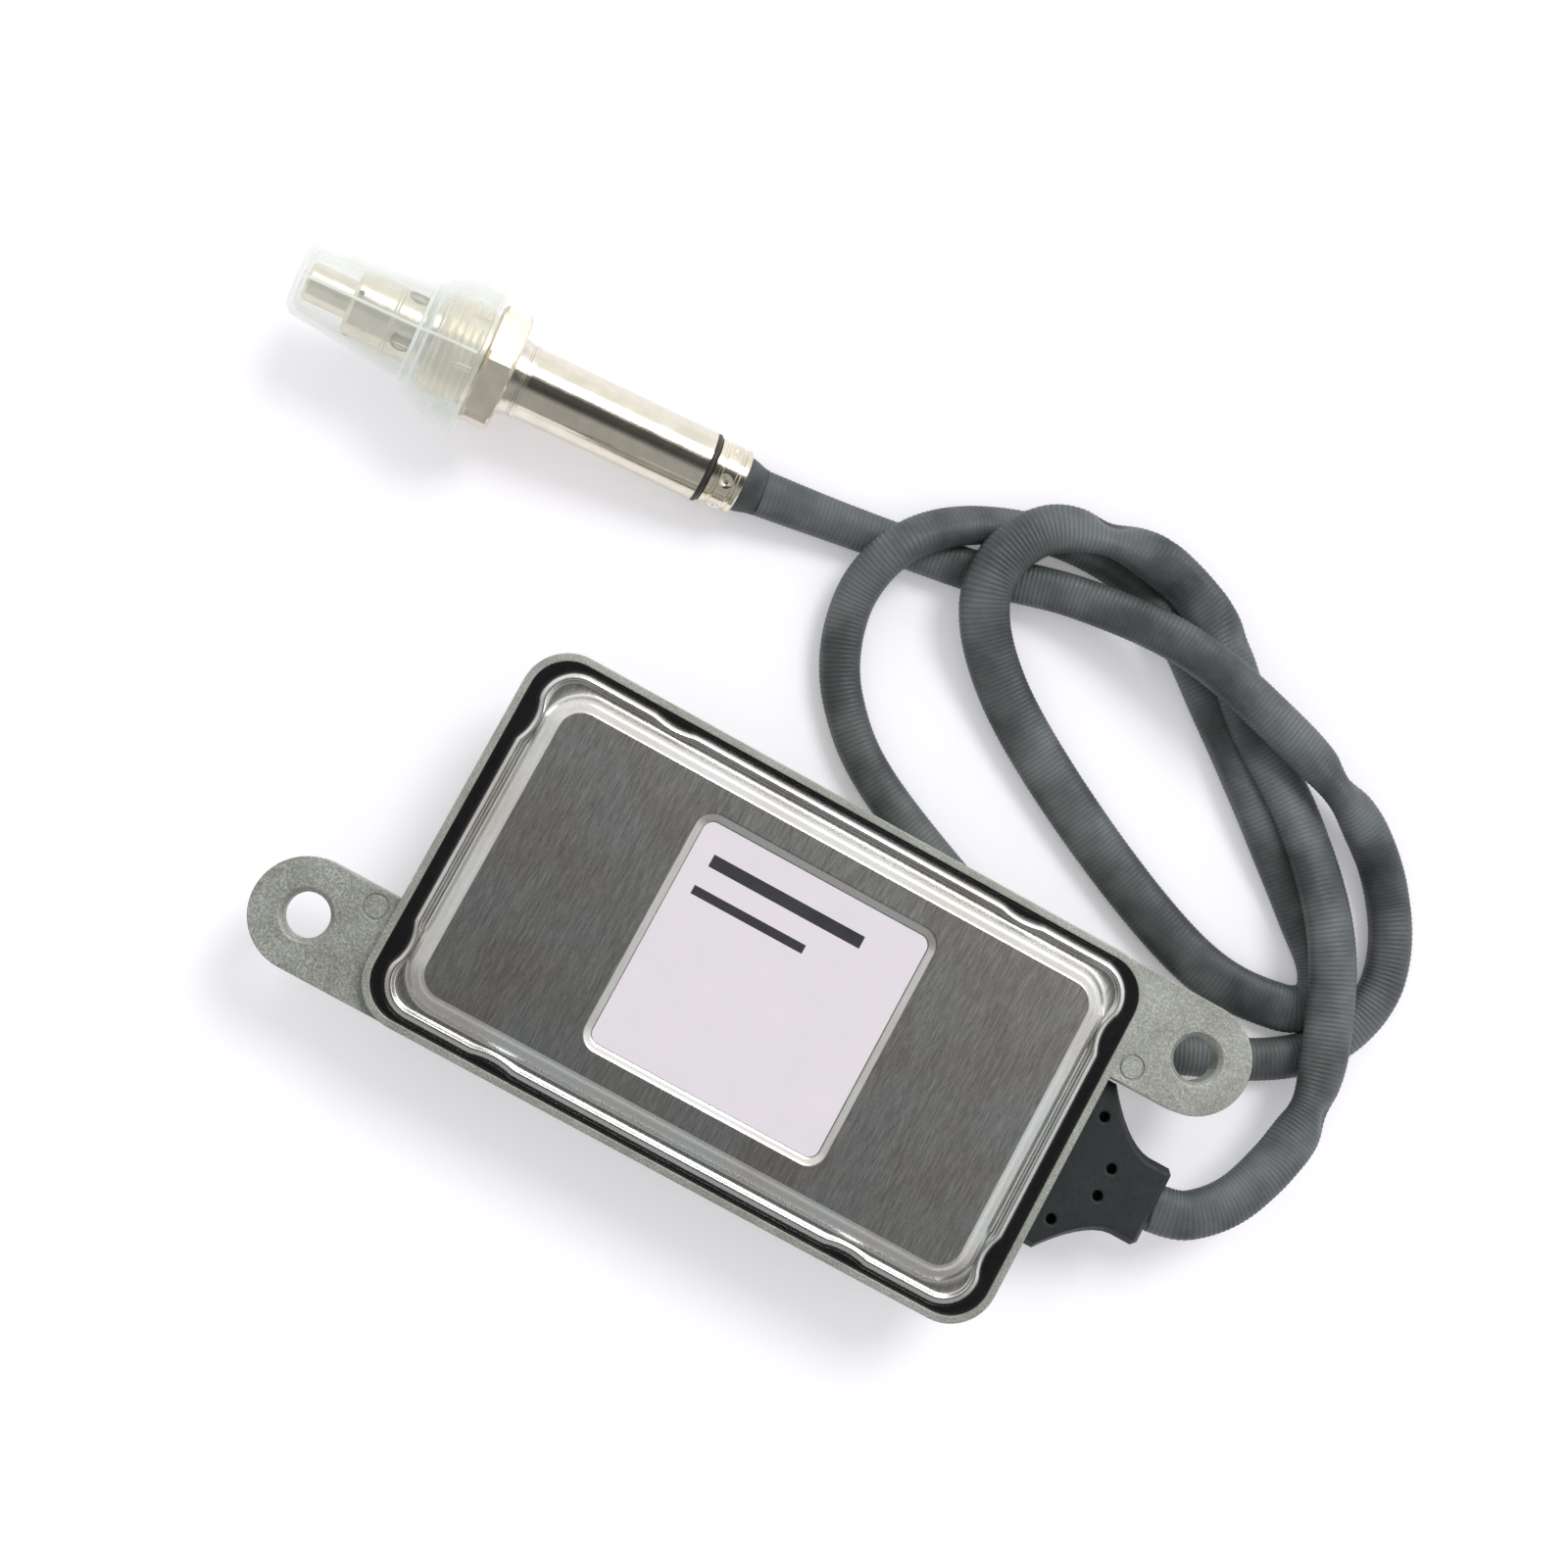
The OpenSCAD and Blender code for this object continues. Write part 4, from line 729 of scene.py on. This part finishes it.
crimpSpec = {
    # radius and height of the outline, in the probe's frame, from the front to the back
    "outline": [(6.9, -45.25), (6.9, -45.75), (5.85, -45.95), (5.85, -46.75), (6.45, -47.15),
                (6.45, -48.05), (6.15, -48.25), (6.15, -48.65), (6.45, -48.85), (6.45, -51.45),
                (6.1, -51.65), (6.1, -52.15), (6.35, -52.35), (6.35, -53.15), (6.05, -53.45)],
    "bore": 5.25, "step": 0.12, "closest": 1e-6, "around": 180, "sharpAngle": 32,
    "dents": 6, "dentR": 6.45, "dentZ": -50.1, "dentWide": 1.0, "dentDepth": 0.5,
    "dentTurn": 12.0, "dentSteep": 1.6, "dentRim": 0.2,  # the bell's gain, and its cut-off rim
    "sealR": 6.28, "sealZ": -46.35, "sealThick": 0.6,
}


def torusOnProbe(name, radius, height, thick, material, around=120, sides=14):
    # circle of the given radius round the probe's axis, with a round section
    roll = fullTurn(sides)[:, None]
    return turnedPiece(name, radius + thick * np.cos(roll), height + thick * np.sin(roll),
                       fullTurn(around), material)


def makeCrimp(spec, material, sealMaterial):
    # radius along the outline, less a round dent wherever the crimping tool pressed: a bell
    # exp(-(distance / width)^2), made steeper and flat at its bottom
    outline = np.array(spec["outline"])
    s = arcLength(outline)
    at = np.sort(np.concatenate([s, np.arange(0, s[-1], spec["step"])]))
    at = at[np.r_[True, np.diff(at) > spec["closest"]]]
    r, z = (np.interp(at, s, column)[:, None] for column in outline.T)
    turn = fullTurn(spec["around"])
    part = 2 * np.pi / spec["dents"]
    across = ((turn - math.radians(spec["dentTurn"])) % part - part / 2) * spec["dentR"]
    bell = np.exp(-((z - spec["dentZ"]) ** 2 + across ** 2) / spec["dentWide"] ** 2)
    radius = r - spec["dentDepth"] * np.clip(spec["dentSteep"] * bell - spec["dentRim"], 0, 1)
    bore = np.full((1, len(turn)), spec["bore"])
    # from the back to the front, so that the faces point outwards
    radius = np.vstack([bore, radius, bore])[::-1]
    height = np.vstack([z[:1], z, z[-1:]])[::-1]
    piece = turnedPiece("crimpedEnd", radius, height, turn, material, spec["sharpAngle"])
    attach(piece, "module")
    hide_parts("crimp_bush")
    seal = torusOnProbe("neckSeal", spec["sealR"], spec["sealZ"], spec["sealThick"], sealMaterial)
    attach(seal, "module")


makeCrimp(crimpSpec, finishes["crimpSteel"], finishes["sealRubber"])

# rings and parting lines of the see-through cap
capSpec = {
    # radius, height and thickness of the rings at the neck
    "rings": [(9.45, 12.6, 0.38), (9.75, 10.95, 0.3)],
    # outer radius and height that the parting line follows
    "seam": [(13.6, 1.6), (13.55, 4.0), (13.1, 6.2), (12.3, 8.2), (11.2, 10.4), (9.75, 12.3),
             (9.3, 13.4), (6.98, 34.9)],
    "seamWide": 0.6, "seamHigh": 0.1, "seamSunk": 0.15,
    "seamTurn": (174.0, 354.0),  # degrees
}


def makeCapDetails(spec, material):
    for i, (radius, height, thick) in enumerate(spec["rings"]):
        ring = torusOnProbe("capRing" + "AB"[i], radius, height, thick, material)
        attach(ring, "cap")
    # a low ridge, oblong in section, along the outline at two opposite sides
    r, z = np.array(spec["seam"]).T
    for i, turn in enumerate(np.radians(spec["seamTurn"])):
        out = np.array([np.cos(turn), np.sin(turn), 0])
        across = np.array([-np.sin(turn), np.cos(turn), 0]) * spec["seamWide"] / 2
        middle = r[:, None] * out + z[:, None] * np.array([0, 0, 1.0])
        low, high = middle - spec["seamSunk"] * out, middle + spec["seamHigh"] * out
        rings = np.stack([low - across, low + across, high + across, high - across], 1)
        points, faces = closedTube(onProbe(rings))
        seam = meshPiece("capSeam" + "AB"[i], points, faces, material, smooth=False)
        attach(seam, "cap")


makeCapDetails(capSpec, finishes["thickPolypropylene"])
print("crimp and cap details made")

# white table, soft light from beyond the object
studioSpec = {
    "floorColor": "#f7f5fb", "floorGlow": 0.2,
    "floorHalf": 4.0, "floorZ": -0.0002,  # m
    "ambient": 0.7,
    "sunStrength": 1.15, "sunFrom": (0.28, 0.96, 1.35), "sunAngle": 24.0,
    # what metal mirrors, by the direction's Z for the ceiling and its Y for the walls
    "ceiling": 0.1, "ceilingEdge": (0.8, 0.95),
    "nearSide": 0.4, "farSide": 1.06, "sideEdge": (-0.5, 0.5),
}


def makeWorld(spec):
    world = bpy.data.worlds.new("studio")
    bpy.context.scene.world = world
    world.use_nodes = True
    tree = world.node_tree
    path = addNode(tree, "ShaderNodeLightPath")
    coords = addNode(tree, "ShaderNodeTexCoord")
    split = addNode(tree, "ShaderNodeSeparateXYZ", {"Vector": coords.outputs["Generated"]})
    # mirrored: a dark ceiling, a bright wall beyond the object, a dimmer one before it
    low, high = spec["ceilingEdge"]
    ceiling = addNode(tree, "ShaderNodeMapRange", {
        "Value": split.outputs["Z"], "From Min": low, "From Max": high,
        "To Min": 1.0, "To Max": spec["ceiling"]}, interpolation_type="SMOOTHSTEP")
    near, far = spec["sideEdge"]
    walls = addNode(tree, "ShaderNodeMapRange", {
        "Value": split.outputs["Y"], "From Min": near, "From Max": far,
        "To Min": spec["nearSide"], "To Max": spec["farSide"]}, interpolation_type="SMOOTHSTEP")
    mirrored = addNode(tree, "ShaderNodeMath", {0: ceiling.outputs["Result"],
                                                1: walls.outputs["Result"]}, operation="MULTIPLY")
    level = addNode(tree, "ShaderNodeMix", {"Factor": path.outputs["Is Glossy Ray"],
                                            "A": spec["ambient"], "B": mirrored.outputs[0]})
    # plain white behind the object, also through the cap
    white = addNode(tree, "ShaderNodeMath", {0: path.outputs["Is Camera Ray"],
                                             1: path.outputs["Is Transmission Ray"]},
                    operation="MAXIMUM")
    level = addNode(tree, "ShaderNodeMix", {"Factor": white.outputs[0], "A": level.outputs[0],
                                            "B": 1.0})
    feed(tree, tree.nodes["Background"], {"Color": (1, 1, 1, 1), "Strength": level.outputs[0]})


def makeSun(spec):
    sun = bpy.data.lights.new("softSun", "SUN")
    sun.energy = spec["sunStrength"]
    sun.angle = math.radians(spec["sunAngle"])
    lamp = bpy.data.objects.new("softSun", sun)
    bpy.context.scene.collection.objects.link(lamp)
    lamp.rotation_mode = "QUATERNION"
    lamp.rotation_quaternion = Vector(spec["sunFrom"]).to_track_quat("Z", "Y")


def makeFloor(spec):
    # white paper sweep that keeps the shadow, with a faint glow for the eye and for mirrors only
    material, tree, shader, _ = newMaterial("paperSweep", Roughness=0.9, Specular_IOR_Level=0.0,
                                            Base_Color=linearColor(spec["floorColor"]),
                                            Emission_Color=(1, 1, 1, 1))
    path = addNode(tree, "ShaderNodeLightPath")
    seen = addNode(tree, "ShaderNodeMath", {0: path.outputs["Is Camera Ray"],
                                            1: path.outputs["Is Glossy Ray"]}, operation="MAXIMUM")
    seen = addNode(tree, "ShaderNodeMath", {0: seen.outputs[0],
                                            1: path.outputs["Is Transmission Ray"]},
                   operation="MAXIMUM")
    glow = addNode(tree, "ShaderNodeMath", {0: seen.outputs[0], 1: spec["floorGlow"]},
                   operation="MULTIPLY")
    feed(tree, shader, {"Emission Strength": glow.outputs[0]})
    points = atHeight(square * spec["floorHalf"], spec["floorZ"])
    meshPiece("floor", points, [(0, 1, 2, 3)], material)


bpy.context.scene.view_settings.view_transform = "Standard"
makeWorld(studioSpec)
makeSun(studioSpec)
makeFloor(studioSpec)
print("studio made")
